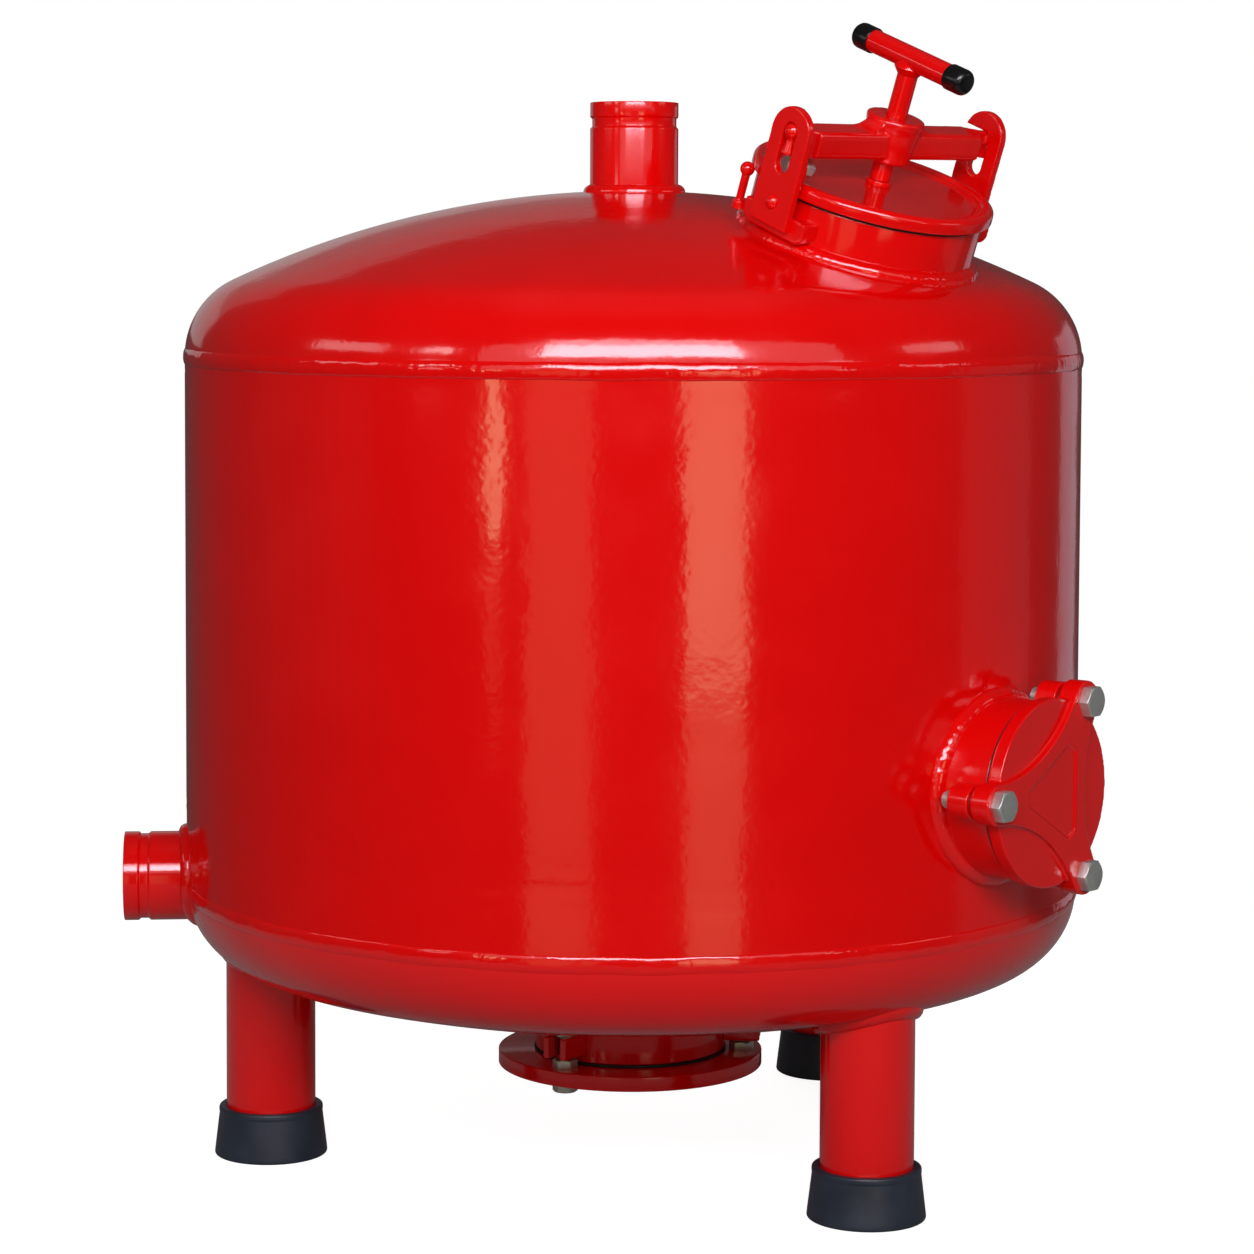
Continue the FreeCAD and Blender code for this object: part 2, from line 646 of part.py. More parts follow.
node("inlet_nozzle", grooved_pipe("inlet_nozzle", inlet_length, inlet_top))
inlet_near = pipe_radius + fit_gap
node("inlet_weld", turned("inlet_weld",
                          (inlet_near, TOP.height_at(inlet_near) + fit_gap),
                          (inlet_near + bead, TOP.height_at(inlet_near + bead) + fit_gap),
                          (inlet_near, TOP.height_at(inlet_near) + fit_gap + bead,
                           2 * bead, -1)))
outlet_pipe = grooved_pipe("outlet_pipe", outlet_stand + 40, outlet_reach)
outlet_pipe = OUTLET.hold(group("outlet_placed", outlet_pipe))
inner_wall = fuse("inner_wall", cylinder("inner_cylinder", tank_radius - plate, 300, z=lower_seam),
                  BOTTOM.solid("inner_bottom", plate))
node("outlet_nozzle", cut("outlet_nozzle", outlet_pipe, inner_wall))
node("outlet_weld", saddle_weld("outlet_weld", OUTLET.placement, pipe_radius,
                                  tank_radius / 2, outlet_reach))


# Service port: neck, lugs, gasket, cover and bolts, on local Z from the tank's axis

def tube(name, outer, wall, height, z):
    outside = cylinder(name + "_outside", outer, height, z=z)
    return cut(name, outside, cylinder(name + "_bore", outer - wall, height + 2, z=z - 1))


service_pipe = SERVICE.hold(tube("service_pipe", service_radius, service_wall,
                                 service_stand + 40, tank_radius - 40))
service_wall_tool = cylinder("service_wall_tool", tank_radius - plate, 300, z=lower_seam)
node("service_neck", cut("service_neck", service_pipe, service_wall_tool))
node("service_weld", saddle_weld("service_weld", SERVICE.placement, service_radius,
                                   tank_radius / 2, service_reach))

service_seat = service_reach + port_gasket
cover_face = service_seat + cover_disc
boss_face = cover_face + cover_boss
lug_face = service_seat - service_lug_gap
service_inner = service_radius - service_wall
node("service_gasket", turned("service_gasket", (service_inner, service_reach),
                              (service_radius + 1, service_reach),
                              (service_radius + 1, service_seat),
                              (service_inner, service_seat)), SERVICE)

ears = []
holes = []
lugs = []
bolts = []
for angle in (30, 150, 270):
    x, y = polar(service_pitch, angle)
    spin = Rotation(AXIS_Z, angle)
    ears.append(cylinder("cover_ear", service_ear, cover_disc + cover_boss, x, y, service_seat))
    ears.append(box("cover_web", service_pitch, service_ear * 2, cover_disc,
                    -(service_ear * cosine(angle + 90)), -(service_ear * sine(angle + 90)),
                    service_seat, spin))
    holes.append(cylinder("cover_hole", service_bolt + bolt_slack, 60, x, y, service_seat - 10))
    lug_x, lug_y = polar(service_lug_half, angle + 90)
    lug = fuse("service_lug_block",
               cylinder("service_lug_end", service_lug_half, service_lug, x, y,
                        lug_face - service_lug),
               box("service_lug_body", service_pitch, service_lug_half * 2, service_lug,
                   -lug_x, -lug_y, lug_face - service_lug, spin))
    lugs.append(cut("service_lug", lug,
                    cylinder("service_lug_neck", service_radius + fit_gap, 100,
                             z=lug_face - 60),
                    cylinder("service_lug_hole", service_bolt + fit_gap, 100, x, y,
                             lug_face - 60)))
    bolts.append(fuse("service_bolt",
                      hexagon("service_bolt_head", service_head, service_head_high, x, y,
                              boss_face, spin),
                      cylinder("service_bolt_shank", service_bolt, service_bolt_long, x, y,
                               boss_face - service_bolt_long)))

# The boss is a triangle whose sides are arcs that run on from the round ears.
side_arcs = []
for angle in (90, 210, 330):
    x, y = polar(service_pitch * 2, angle)
    side_arcs.append(cylinder("boss_side", service_pitch * root(3) - service_ear, 40, x, y,
                              service_seat - 10))
boss = cut("boss_arms",
           common("boss_block",
                  prism("boss_triangle", 2 * (service_pitch / 2 + service_ear),
                        cover_disc + cover_boss, z=service_seat,
                        turn=Rotation(AXIS_Z, 30), sides=3),
                  cylinder("boss_round",
                           root(service_pitch * service_pitch + service_ear * service_ear),
                           cover_disc + cover_boss, z=service_seat)),
           *side_arcs)
hollow = common("hollow",
                prism("hollow_triangle", hollow_reach, 20, z=boss_face - cover_hollow,
                      turn=Rotation(AXIS_Z, 30), sides=3),
                cylinder("hollow_rounding", hollow_round, 20, z=boss_face - cover_hollow))
cover_blank = fuse("cover_blank", cylinder("cover_plate", cover_radius, cover_disc,
                                           z=service_seat), boss, *ears)
node("service_cover", cut("service_cover", cover_blank, hollow, *holes), SERVICE)
node("service_lugs", group("service_lugs", *lugs), SERVICE)
node("service_bolts", group("service_bolts", *bolts), SERVICE)


# Drain port: neck, lugs, gasket, cover, bolts and nuts

node("drain_neck", tube("drain_neck", drain_radius, drain_wall, drain_length, drain_rim))
drain_near = drain_radius + fit_gap
node("drain_weld", turned("drain_weld",
                          (drain_near, BOTTOM.height_at(drain_near) - fit_gap - bead),
                          (drain_near + bead, BOTTOM.height_at(drain_near + bead) - fit_gap,
                           2 * bead, -1),
                          (drain_near, BOTTOM.height_at(drain_near) - fit_gap)))
drain_seat = drain_rim - port_gasket
drain_face = drain_seat - drain_cover_thick
node("drain_gasket", turned("drain_gasket", (drain_radius - drain_wall, drain_seat),
                            (drain_radius + 1, drain_seat), (drain_radius + 1, drain_rim),
                            (drain_radius - drain_wall, drain_rim)))

lug_low = drain_seat + drain_nut_high + 2
lug_high_end = lug_low + drain_lug_high
bolt_top = lug_high_end + drain_nut_high * 0.75 + drain_bolt_end
drain_holes = []
drain_lugs = []
drain_bolts = []
drain_nuts = []
for step in range(3):
    angle = drain_turn + 120 * step
    x, y = polar(drain_pitch, angle)
    spin = Rotation(AXIS_Z, float(angle))
    drain_holes.append(cylinder("drain_cover_hole", drain_bolt + bolt_slack, 40, x, y,
                                drain_face - 10))
    side_x, side_y = polar(drain_lug_half, angle + 90)
    lug = box("drain_lug_block", drain_pitch + drain_lug_reach, drain_lug_half * 2,
              drain_lug_high, -side_x, -side_y, lug_low, spin)
    slot = drain_bolt + drain_slack
    slot_x, slot_y = polar(slot, angle + 90)
    drain_lugs.append(cut("drain_lug", lug,
                          cylinder("drain_lug_neck", drain_radius + fit_gap, 60,
                                   z=lug_low - 10),
                          cylinder("drain_lug_hole", slot, 60, x, y, lug_low - 10),
                          box("drain_lug_slot", 60, slot * 2, 60, x - slot_x, y - slot_y,
                              lug_low - 10, spin)))
    drain_bolts.append(fuse("drain_bolt",
                            hexagon("drain_bolt_head", drain_nut, drain_nut_high, x, y,
                                    drain_face - drain_nut_high, spin),
                            cylinder("drain_bolt_shank", drain_bolt, bolt_top - drain_face, x,
                                     y, drain_face)))
    nut_hole = cylinder("drain_nut_hole", drain_bolt + fit_gap, 100, x, y, drain_seat - 10)
    drain_nuts.append(cut("drain_lower_nut",
                          hexagon("drain_lower_nut_block", drain_nut, drain_nut_high, x, y,
                                  drain_seat, spin), nut_hole))
    drain_nuts.append(cut("drain_upper_nut",
                          hexagon("drain_upper_nut_block", drain_nut, drain_nut_high * 0.75,
                                  x, y, lug_high_end, spin), nut_hole))
node("drain_cover", cut("drain_cover",
                        turned("drain_cover_plate", (0, drain_face),
                               (drain_cover_radius - 1, drain_face),
                               (drain_cover_radius, drain_face + 1),
                               (drain_cover_radius, drain_seat - 1),
                               (drain_cover_radius - 1, drain_seat), (0, drain_seat)),
                        *drain_holes))
node("drain_lugs", group("drain_lugs", *drain_lugs))
node("drain_bolts", group("drain_bolts", *drain_bolts))
node("drain_nuts", group("drain_nuts", *drain_nuts))


# Legs, their welds and rubber boots

for place, azimuth in (("front", leg_front), ("left", leg_left), ("rear", leg_rear)):
    x, y = polar(leg_circle, azimuth)
    outside = cylinder("leg_outside_" + place, leg_radius, leg_top - boot_floor, x, y,
                       boot_floor)
    bore = cylinder("leg_bore_" + place, leg_radius - leg_wall, leg_top + 2, x, y,
                    boot_floor - 1)
    node("leg_" + place, cut("leg_" + place, outside, bore,
                             BOTTOM.solid("cope_" + place, -fit_gap)))
    upside = Placement(Vector(float(x), float(y), 0), Rotation(AXIS_X, 180))
    node("leg_weld_" + place, saddle_weld("leg_weld_" + place, upside, leg_radius,
                                             -lower_seam, 0))
    fit = leg_radius + fit_gap
    boot = turned("boot_" + place, (0, 0), (boot_base - boot_round, 0),
                  (boot_base, boot_round, boot_round * 1.05, -1),
                  (boot_top, boot_height - boot_round),
                  (boot_top - boot_round, boot_height, boot_round * 1.05, -1),
                  (fit, boot_height), (fit, boot_floor), (0, boot_floor))
    node("boot_" + place, at(boot, x, y, 0))


# Fill port: neck, gasket and the ears' bases

node("fill_neck", tube("fill_neck", fill_radius, fill_wall, fill_length, -fill_length), FILL)
node("fill_weld", saddle_weld("fill_weld", FILL.placement, fill_radius,
                                -2 * fill_length, 0))
gasket_outer = fill_radius + gasket_overhang
node("fill_gasket", turned("fill_gasket", (fill_radius - fill_wall - gasket_overhang, 0),
                           (gasket_outer, 0), (gasket_outer, lid_gasket),
                           (fill_radius - fill_wall - gasket_overhang, lid_gasket)), FILL)

ear_outer = ear_inner + ear_thick
ear_middle = ear_inner + ear_thick / 2
left_slot_top = ball_high + ball_radius + slot_rise
ear_bolts, ear_nuts = [], []


def mirrored(side, start, length):
    """Where a block of this length starts along X on the given side of the yoke."""
    return start if side > 0 else -(start + length)


for side, place in ((-1, "left"), (1, "right")):
    pad_start = fill_radius - 20
    pad_long = ear_inner - pad_start
    pad_x = mirrored(side, pad_start, pad_long)
    toe = ear_pad_half - ear_pad_round
    base = fuse("ear_base",
                box("ear_base_middle", pad_long, toe * 2, ear_pad_low - ear_pad_top, pad_x,
                    -toe, -ear_pad_low),
                box("ear_base_wide", pad_long, ear_pad_half * 2,
                    ear_pad_low - ear_pad_round - ear_pad_top, pad_x, -ear_pad_half,
                    -(ear_pad_low - ear_pad_round)),
                cylinder("ear_base_toe", ear_pad_round, pad_long, pad_x, toe,
                         -(ear_pad_low - ear_pad_round), ACROSS),
                cylinder("ear_base_toe", ear_pad_round, pad_long, pad_x, -toe,
                         -(ear_pad_low - ear_pad_round), ACROSS),
                box("ear_base_tab", ear_tab, ear_tab_half * 2, ear_pad_top + 5 + ear_tab_top,
                    mirrored(side, ear_inner - ear_tab, ear_tab), -ear_tab_half,
                    -(ear_pad_top + 5)))
    hole_start = ear_outer - ear_bolt_long
    hole = cylinder("ear_bolt_hole", ear_bolt + fit_gap, ear_bolt_long,
                    mirrored(side, hole_start, ear_bolt_long), 0, -ear_bolt_low, ACROSS)
    node("ear_base_" + place, cut("ear_base_" + place, base,
                                  cylinder("ear_base_neck", fill_radius + fit_gap, 80,
                                           -clamp_shift, 0, -60),
                                  hole), CLAMP)
    ear_x = mirrored(side, ear_inner, ear_thick)
    ear_centre = ear_top - ear_half
    ear_plate = fuse("ear_plate",
                     box("ear_blade", ear_thick, ear_half * 2, ear_centre + ear_foot, ear_x,
                         -ear_half, -ear_foot),
                     cylinder("ear_crown", ear_half, ear_thick, ear_x, 0, ear_centre, ACROSS))
    cut_x = mirrored(side, ear_inner - 2, ear_thick + 4)
    cut_long = ear_thick + 4
    low_centre = slot_low + slot_half
    slot_top = left_slot_top if side < 0 else left_slot_top - ball_drop
    slot_tools = [
        cylinder("slot_foot", slot_half, cut_long, cut_x, 0, low_centre, ACROSS),
        box("slot_body", cut_long, slot_half * 2, slot_top - slot_half - low_centre, cut_x,
            -slot_half, low_centre),
        cylinder("slot_head", slot_half, cut_long, cut_x, 0, slot_top - slot_half, ACROSS)]
    if side > 0:
        slot_tools.append(box("hook_mouth", cut_long, 60, slot_top - yoke_low + slot_under,
                              cut_x, -(tongue_half + 1), yoke_low - slot_under))
    node("ear_" + place, cut("ear_" + place, ear_plate, hole, *slot_tools), CLAMP)
    head_x = side * ear_outer
    shank_x = mirrored(side, hole_start, ear_bolt_long)
    dome = (ear_bolt_head * ear_bolt_head + ear_bolt_rise * ear_bolt_rise) / (2 * ear_bolt_rise)
    ball = sphere("ear_bolt_dome", dome, head_x + side * (ear_bolt_rise - dome), 0,
                  -ear_bolt_low)
    keep = cylinder("ear_bolt_keep", ear_bolt_head + 1, 20, mirrored(side, ear_outer, 20), 0,
                    -ear_bolt_low, ACROSS)
    ear_bolts.append(fuse("ear_bolt", common("ear_bolt_head", ball, keep),
                          cylinder("ear_bolt_shank", ear_bolt, ear_bolt_long, shank_x, 0,
                                   -ear_bolt_low, ACROSS)))
    nut_x = mirrored(side, ear_inner - ear_tab - ear_nut_high, ear_nut_high)
    ear_nuts.append(cut("ear_nut",
                        hexagon("ear_nut_block", ear_nut, ear_nut_high, nut_x, 0,
                                -ear_bolt_low, ACROSS),
                        cylinder("ear_nut_bore", ear_bolt + fit_gap, ear_bolt_long,
                                 mirrored(side, hole_start, ear_bolt_long), 0,
                                 -ear_bolt_low, ACROSS)))
node("ear_bolts", group("ear_bolts", *ear_bolts), CLAMP)
node("ear_nuts", group("ear_nuts", *ear_nuts), CLAMP)

post_angle = Rotation(AXIS_Z, float(post_azimuth))
post_side = post_plate * 0.75
side_x, side_y = post_side * post_y / post_reach, post_side * post_x / post_reach
post_arm = cut("post_arm",
               box("post_arm_block", post_reach, post_side * 2, post_plate, side_x, -side_y,
                   -post_foot, post_angle),
               cylinder("post_arm_neck", fill_radius + fit_gap, 80, z=-60))
node("tether_post", fuse("tether_post", post_arm,
                         cylinder("post_foot_round", post_side, post_plate, post_x, post_y,
                                  -post_foot),
                         cylinder("post_rod", post_radius, post_top + post_foot, post_x,
                                  post_y, -post_foot),
                         sphere("post_ball", post_ball, post_x, post_y, post_top)), FILL)


# Lid with its lug and the lug's bolt

lid_low = lid_gasket
roll_ring = lid_radius - lid_roll
roll_height = lid_gasket + lid_crest - lid_roll
land = lid_gasket + lid_land
sunk = lid_gasket + lid_floor
land_edge = roll_ring - root(lid_roll * lid_roll - (land - roll_height) * (land - roll_height))
lid_dish = turned("lid_dish", (0, sunk - lid_plate), (lid_sink - lid_slope, sunk - lid_plate),
                  (lid_sink, lid_low), (lid_radius - 1, lid_low), (lid_radius, lid_low + 1),
                  (lid_radius, roll_height), (land_edge, land, lid_roll, 1),
                  (lid_sink, land), (lid_sink - lid_slope, sunk), (0, sunk))
LUG = Frame(-lug_middle, lug_side, 0, lug_azimuth, AXIS_Z, 0)
lug_x = lug_thick / -2
lid_lug = LUG.hold(fuse("lid_lug",
                        box("lid_lug_blade", lug_thick, lug_half * 2, lug_high - roll_height,
                            lug_x, -lug_half, roll_height),
                        cylinder("lid_lug_round", lug_half, lug_thick, lug_x, 0, lug_high,
                                 ACROSS)))
lug_hole = LUG.hold(group("lid_lug_hole", cylinder("lid_lug_drill", lug_bolt + fit_gap, 60,
                                                   -30, 0, lug_high, ACROSS)))
bolt_start = lug_x - lug_nut_high
bolt_long = 2 * lug_nut_high + lug_thick + lug_bolt_end
node("fill_lid", cut("fill_lid", fuse("lid_and_lug", lid_dish, lid_lug), lug_hole), FILL)
lid_bolt = LUG.hold(fuse("lid_bolt_blank",
                         hexagon("lid_bolt_head", lug_nut, lug_nut_high, bolt_start, 0,
                                 lug_high, ACROSS),
                         cylinder("lid_bolt_shank", lug_bolt, bolt_long, bolt_start, 0,
                                  lug_high, ACROSS)))
node("lid_bolt", group("lid_bolt", lid_bolt), FILL)
lid_nut = LUG.hold(cut("lid_nut_blank",
                       hexagon("lid_nut_block", lug_nut, lug_nut_high, lug_thick / 2, 0,
                               lug_high, ACROSS),
                       cylinder("lid_nut_drill", lug_bolt + fit_gap, 40, 0, 0, lug_high,
                                ACROSS)))
node("lid_nut", group("lid_nut", lid_nut), FILL)


# Thrust pad, clamp screw and handle

pad_low = sunk
pad_top = pad_low + pad_height
cup_floor = pad_top - tip_length - end_gap
cup = tip_radius + running_gap
node("thrust_pad", turned("thrust_pad", (0, pad_low), (pad_radius - 1, pad_low),
                          (pad_radius, pad_low + 1), (pad_radius, pad_top - 1),
                          (pad_radius - 1, pad_top), (cup, pad_top), (cup, cup_floor),
                          (0, cup_floor)), CLAMP)
tip_end = cup_floor + end_gap
shoulder = pad_top + end_gap
screw = turned("screw_blank", (0, tip_end), (tip_radius - 0.5, tip_end),
               (tip_radius, tip_end + 0.5), (tip_radius, shoulder),
               (screw_radius - 1, shoulder), (screw_radius, shoulder + 1),
               (screw_radius, handle_height), (0, handle_height))
handle_cope = cylinder("handle_cope", handle_radius + fit_gap, 60, 0, -30, handle_height,
                       ALONG_Y)
node("clamp_screw", cut("clamp_screw", screw, handle_cope), CLAMP)

tube_half = handle_half - cap_dome
handle_outside = cylinder("handle_outside", handle_radius, tube_half * 2, 0, -tube_half,
                          handle_height, ALONG_Y)
handle_bore = cylinder("handle_bore", handle_radius - handle_wall, tube_half * 2 + 2, 0,
                       -tube_half - 1, handle_height, ALONG_Y)
node("handle_tube", cut("handle_tube", handle_outside, handle_bore), CLAMP)
weld_ring = screw_radius + fit_gap
weld_low = handle_height - handle_radius - handle_bead
node("handle_weld", cut("handle_weld",
                        turned("handle_weld_cone", (weld_ring, weld_low),
                               (weld_ring + handle_bead, handle_height - handle_radius + 2),
                               (weld_ring, handle_height)), handle_cope), CLAMP)
cap_bore = handle_radius + fit_gap
cap_outer = cap_bore + cap_wall
cap_round = 2.5
for side, place in ((-1, "front"), (1, "rear")):
    cap = turned("cap_sleeve", (0, tube_half + cap_dome),
                 (0, tube_half), (cap_bore, tube_half), (cap_bore, handle_half - cap_length),
                 (cap_outer, handle_half - cap_length), (cap_outer, handle_half - cap_round),
                 (cap_outer - cap_round, handle_half, cap_round * 1.05, 1))
    turn = Rotation(AXIS_X, -90 * side)
    placed = at(cap, 0, 0, handle_height, turn)
    node("handle_cap_" + place, group("handle_cap_" + place, placed), CLAMP)


# Yoke with its hub, tongues and ball

def round_bar(name, half_long, half_wide, low, depth, radius):
    """A bar along X with its long edges rounded."""
    length = half_long * 2
    pieces = [box(name + "_tall", length, (half_wide - radius) * 2, depth, -half_long,
                  -(half_wide - radius), low),
              box(name + "_wide", length, half_wide * 2, depth - radius * 2, -half_long,
                  -half_wide, low + radius)]
    for y in (half_wide - radius, -(half_wide - radius)):
        for z in (low + radius, low + depth - radius):
            pieces.append(cylinder(name + "_edge", radius, length, -half_long, y, z, ACROSS))
    return fuse(name, *pieces)


bar = round_bar("yoke_section", yoke_body, yoke_half, yoke_low, yoke_depth, yoke_round)
ends = []
for side in (-1, 1):
    ends.append(box("yoke_tongue", ear_middle - yoke_body + yoke_taper, tongue_half * 2,
                    yoke_depth, mirrored(side, yoke_body - yoke_taper,
                                         ear_middle - yoke_body + yoke_taper),
                    -tongue_half, yoke_low))
    wedge = named("Part::Wedge", "yoke_wedge")
    flat = yoke_half - yoke_round
    bind(wedge, Xmin=-flat, Xmax=flat, Ymin=0, Ymax=yoke_taper, Zmin=0, Zmax=yoke_depth,
         X2min=-tongue_half, X2max=tongue_half, Z2min=0, Z2max=yoke_depth)
    ends.append(at(wedge, side * yoke_body, 0, yoke_low, Rotation(AXIS_Z, -90 * side)))
    stem = named("Part::Cone", "yoke_stem")
    bind(stem, Radius1=stem_foot, Radius2=stem_neck, Height=stem_high)
    ends.append(at(stem, side * ear_middle, 0, yoke_low))
    ends.append(sphere("yoke_ball", ball_radius, side * ear_middle, 0,
                       ball_high if side < 0 else ball_high - ball_drop))
hub = turned("yoke_hub", (0, hub_low), (hub_foot - 1, hub_low), (hub_foot, hub_low + 1),
             (hub_radius, yoke_low + yoke_depth),
             (hub_collar, hub_top - hub_collar_high),
             (hub_collar, hub_top - hub_chamfer), (hub_collar - hub_chamfer, hub_top),
             (0, hub_top))
yoke_top = yoke_low + yoke_depth
flare = common("yoke_flare",
               turned("flare_cone", (0, yoke_top - yoke_round),
                      (flare_reach, yoke_top - yoke_round), (flare_reach, yoke_top),
                      (hub_collar, hub_top - hub_collar_high, flare_round, 1),
                      (0, hub_top - hub_collar_high)),
               box("flare_strip", flare_reach * 2, (yoke_half - yoke_round) * 2, yoke_depth,
                   -flare_reach, -(yoke_half - yoke_round), yoke_top - yoke_round))
yoke_bore = cylinder("yoke_bore", screw_radius + running_gap, 100, z=0)
node("yoke_bar", cut("yoke_bar", fuse("yoke_blank", bar, hub, flare, *ends), yoke_bore),
     CLAMP)


# Inside: ledge, underdrain plate, strainers and inlet diffuser

tank_bore = tank_radius - plate - fit_gap
ledge_ring = tube("ledge_ring", tank_bore, ledge_width, ledge_height,
                  floor_height - ledge_height)
node("underdrain_ledge", cut("underdrain_ledge", ledge_ring, outlet_clear))
strainer_spots = [(0, 0)]
for step in range(6):
    strainer_spots.append(polar(strainer_pitch, step * 60))
    strainer_spots.append(polar(strainer_pitch * root(3), step * 60 + 30))
strainer_holes = []
strainers = []
plate_top = floor_height + floor_plate
for x, y in strainer_spots:
    strainer_holes.append(cylinder("strainer_hole", strainer_stem + fit_gap, 40, x, y,
                                   floor_height - 10))
    strainer = turned("strainer", (0, floor_height - strainer_tail),
                      (strainer_stem, floor_height - strainer_tail),
                      (strainer_stem, plate_top), (strainer_radius, plate_top),
                      (strainer_radius * 0.8, plate_top + strainer_high),
                      (0, plate_top + strainer_high))
    strainers.append(at(strainer, x, y, 0))
node("underdrain_plate", cut("underdrain_plate",
                             cylinder("underdrain_disc", tank_bore, floor_plate,
                                      z=floor_height), *strainer_holes))
node("strainers", group("strainers", *strainers))

diffuser_top = inlet_top - inlet_length - diffuser_drop
diffuser_pieces = [cylinder("diffuser_disc", diffuser_radius, diffuser_plate,
                            z=diffuser_top - diffuser_plate)]
for step in range(3):
    x, y = polar(pipe_radius + diffuser_rod + fit_gap, step * 120 + 30)
    diffuser_pieces.append(cylinder("diffuser_leg", diffuser_rod,
                                    diffuser_drop + diffuser_lap + diffuser_plate, x, y,
                                    diffuser_top - diffuser_plate))
node("inlet_diffuser", fuse("inlet_diffuser", *diffuser_pieces))


# Check every object, then write one file per sub-part.

doc.recompute()
faults = [item.Name + " " + ",".join(item.State) for item in doc.Objects
          if "Invalid" in item.State or "Error" in item.State]
for item in NODES:
    if item.Shape.isNull() or not item.Shape.isValid() or item.Shape.Volume <= 0:
        faults.append(item.Label + " has no sound shape")
if faults:
    raise RuntimeError("; ".join(faults))
for item in NODES:
    item.Shape.exportStep("parts/" + item.Label + ".step")
print("wrote", len(NODES), "sub-parts")
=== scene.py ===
# %% [markdown]
# # A sand and gravel filter vessel in glossy red enamel
# This notebook dresses a finished CAD model of a media filter: a welded steel tank on three
# legs, with a clamped fill lid on its shoulder and a bolted service port on its side. The CAD
# part gives every size and place. Here each visible piece gets the roundings, weld ripples and
# finishes that the eye expects of painted steel.

# %% Load the CAD part as the fixed frame
import math

import bmesh
import bpy
from mathutils import Matrix, Vector, noise


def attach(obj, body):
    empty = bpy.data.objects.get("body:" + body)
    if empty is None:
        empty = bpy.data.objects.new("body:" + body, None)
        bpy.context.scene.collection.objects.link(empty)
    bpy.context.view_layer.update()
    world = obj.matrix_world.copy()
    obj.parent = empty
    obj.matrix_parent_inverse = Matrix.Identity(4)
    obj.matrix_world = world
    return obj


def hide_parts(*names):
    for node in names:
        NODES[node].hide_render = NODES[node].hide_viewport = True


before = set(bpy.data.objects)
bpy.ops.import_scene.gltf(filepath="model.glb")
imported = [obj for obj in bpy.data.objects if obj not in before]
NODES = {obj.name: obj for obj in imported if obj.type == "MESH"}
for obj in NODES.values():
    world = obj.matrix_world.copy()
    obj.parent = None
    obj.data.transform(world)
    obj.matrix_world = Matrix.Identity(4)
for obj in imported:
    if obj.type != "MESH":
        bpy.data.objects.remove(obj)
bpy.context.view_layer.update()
MM = 0.001

# %% [markdown]
# ## The camera
# The picture was taken from about three and a half metres with a long lens, a little above the
# tank's shoulder and looking slightly down. A long lens keeps the tank's sides nearly parallel.
# Three turns give the camera's attitude, and a small shift gives the framing, which is kinder to
# upright lines than tilting the camera further.

# %% Camera
def look_axes(yaw, pitch, roll):
    """Right, up and backward directions of a camera that looks along +Y before it is turned."""
    ahead = Vector((math.sin(yaw) * math.cos(pitch), math.cos(yaw) * math.cos(pitch),
                    -math.sin(pitch)))
    level = Vector((math.cos(yaw), -math.sin(yaw), 0))
    above = level.cross(ahead)
    right = level * math.cos(roll) + above * math.sin(roll)
    up = above * math.cos(roll) - level * math.sin(roll)
    return right, up, -ahead


lens = bpy.data.cameras.new("photo_camera")
lens.sensor_width = 36
lens.lens = 3461.6 / 1254 * 36
lens.shift_x = (627 - 622.373) / 1254
lens.shift_y = (476.78 - 627) / 1254
lens.clip_end = 60
camera = bpy.data.objects.new("photo_camera", lens)
bpy.context.scene.collection.objects.link(camera)
right, up, back = look_axes(0.0218, 0.0654, 0.0043)
camera.matrix_world = Matrix.Translation((-0.08675, -3.49918, 0.90708)) @ Matrix(
    (right, up, back)).transposed().to_4x4()
bpy.context.scene.camera = camera
bpy.context.scene.view_settings.view_transform = "Standard"
print("lens %.1f mm, shift %.4f %.4f" % (lens.lens, lens.shift_x, lens.shift_y))

# %% [markdown]
# ## The vessel's main sizes
# Every size below is in millimetres and repeats the CAD part's own. Both nozzles and all the legs
# are the same pipe, and a hole is a tenth of a millimetre wider all round than what stands in it.
# A port has its own frame, a matrix that carries local millimetres to the tank's frame: local Z
# runs out along the port.

# %% Sizes and frames
TANK, PLATE = 450, 5
LOWER_SEAM, UPPER_SEAM = 270, 800
PIPE, PIPE_BORE = 44.45, 38.95
FILL_NECK, SERVICE_NECK, DRAIN_NECK = 109.55, 84.15, 96.85
GAP = 0.1
TOP = {"crown": 938, "knuckle": 84.5, "seam": UPPER_SEAM, "side": 1}
BOTTOM = {"crown": 1451, "knuckle": 78.3, "seam": LOWER_SEAM, "side": -1}
for head in (TOP, BOTTOM):
    head["lean"] = (TANK - head["knuckle"]) / (head["crown"] - head["knuckle"])
    head["middle"] = head["seam"] - head["side"] * (head["crown"] - head["knuckle"]) * math.sqrt(
        1 - head["lean"] ** 2)


def port(x, y, z, heading, axis, lean, spin=0):
    """A port's frame: a point, then a heading, a lean about an axis and a turn, in degrees."""
    return (Matrix.Translation(Vector((x, y, z)) * MM)
            @ Matrix.Rotation(math.radians(heading), 4, "Z")
            @ Matrix.Rotation(math.radians(lean), 4, axis)
            @ Matrix.Rotation(math.radians(spin), 4, "Z"))


def moved(x, y, z):
    return Matrix.Translation(Vector((x, y, z)) * MM)


FILL = port(309 * math.cos(math.radians(-45)), 309 * math.sin(math.radians(-45)), 960,
            39, "X", 20.8, 2)
CLAMP = FILL @ moved(6, 0, 0)
SERVICE = port(0, 0, 409, -42, "Y", 90)
OUTLET = port(0, 0, 276, -176, "Y", 90)
UPRIGHT = Matrix.Identity(4)
UNDER = Matrix.Rotation(math.pi, 4, "X")
print("fill port at", [round(v, 3) for v in FILL.translation])


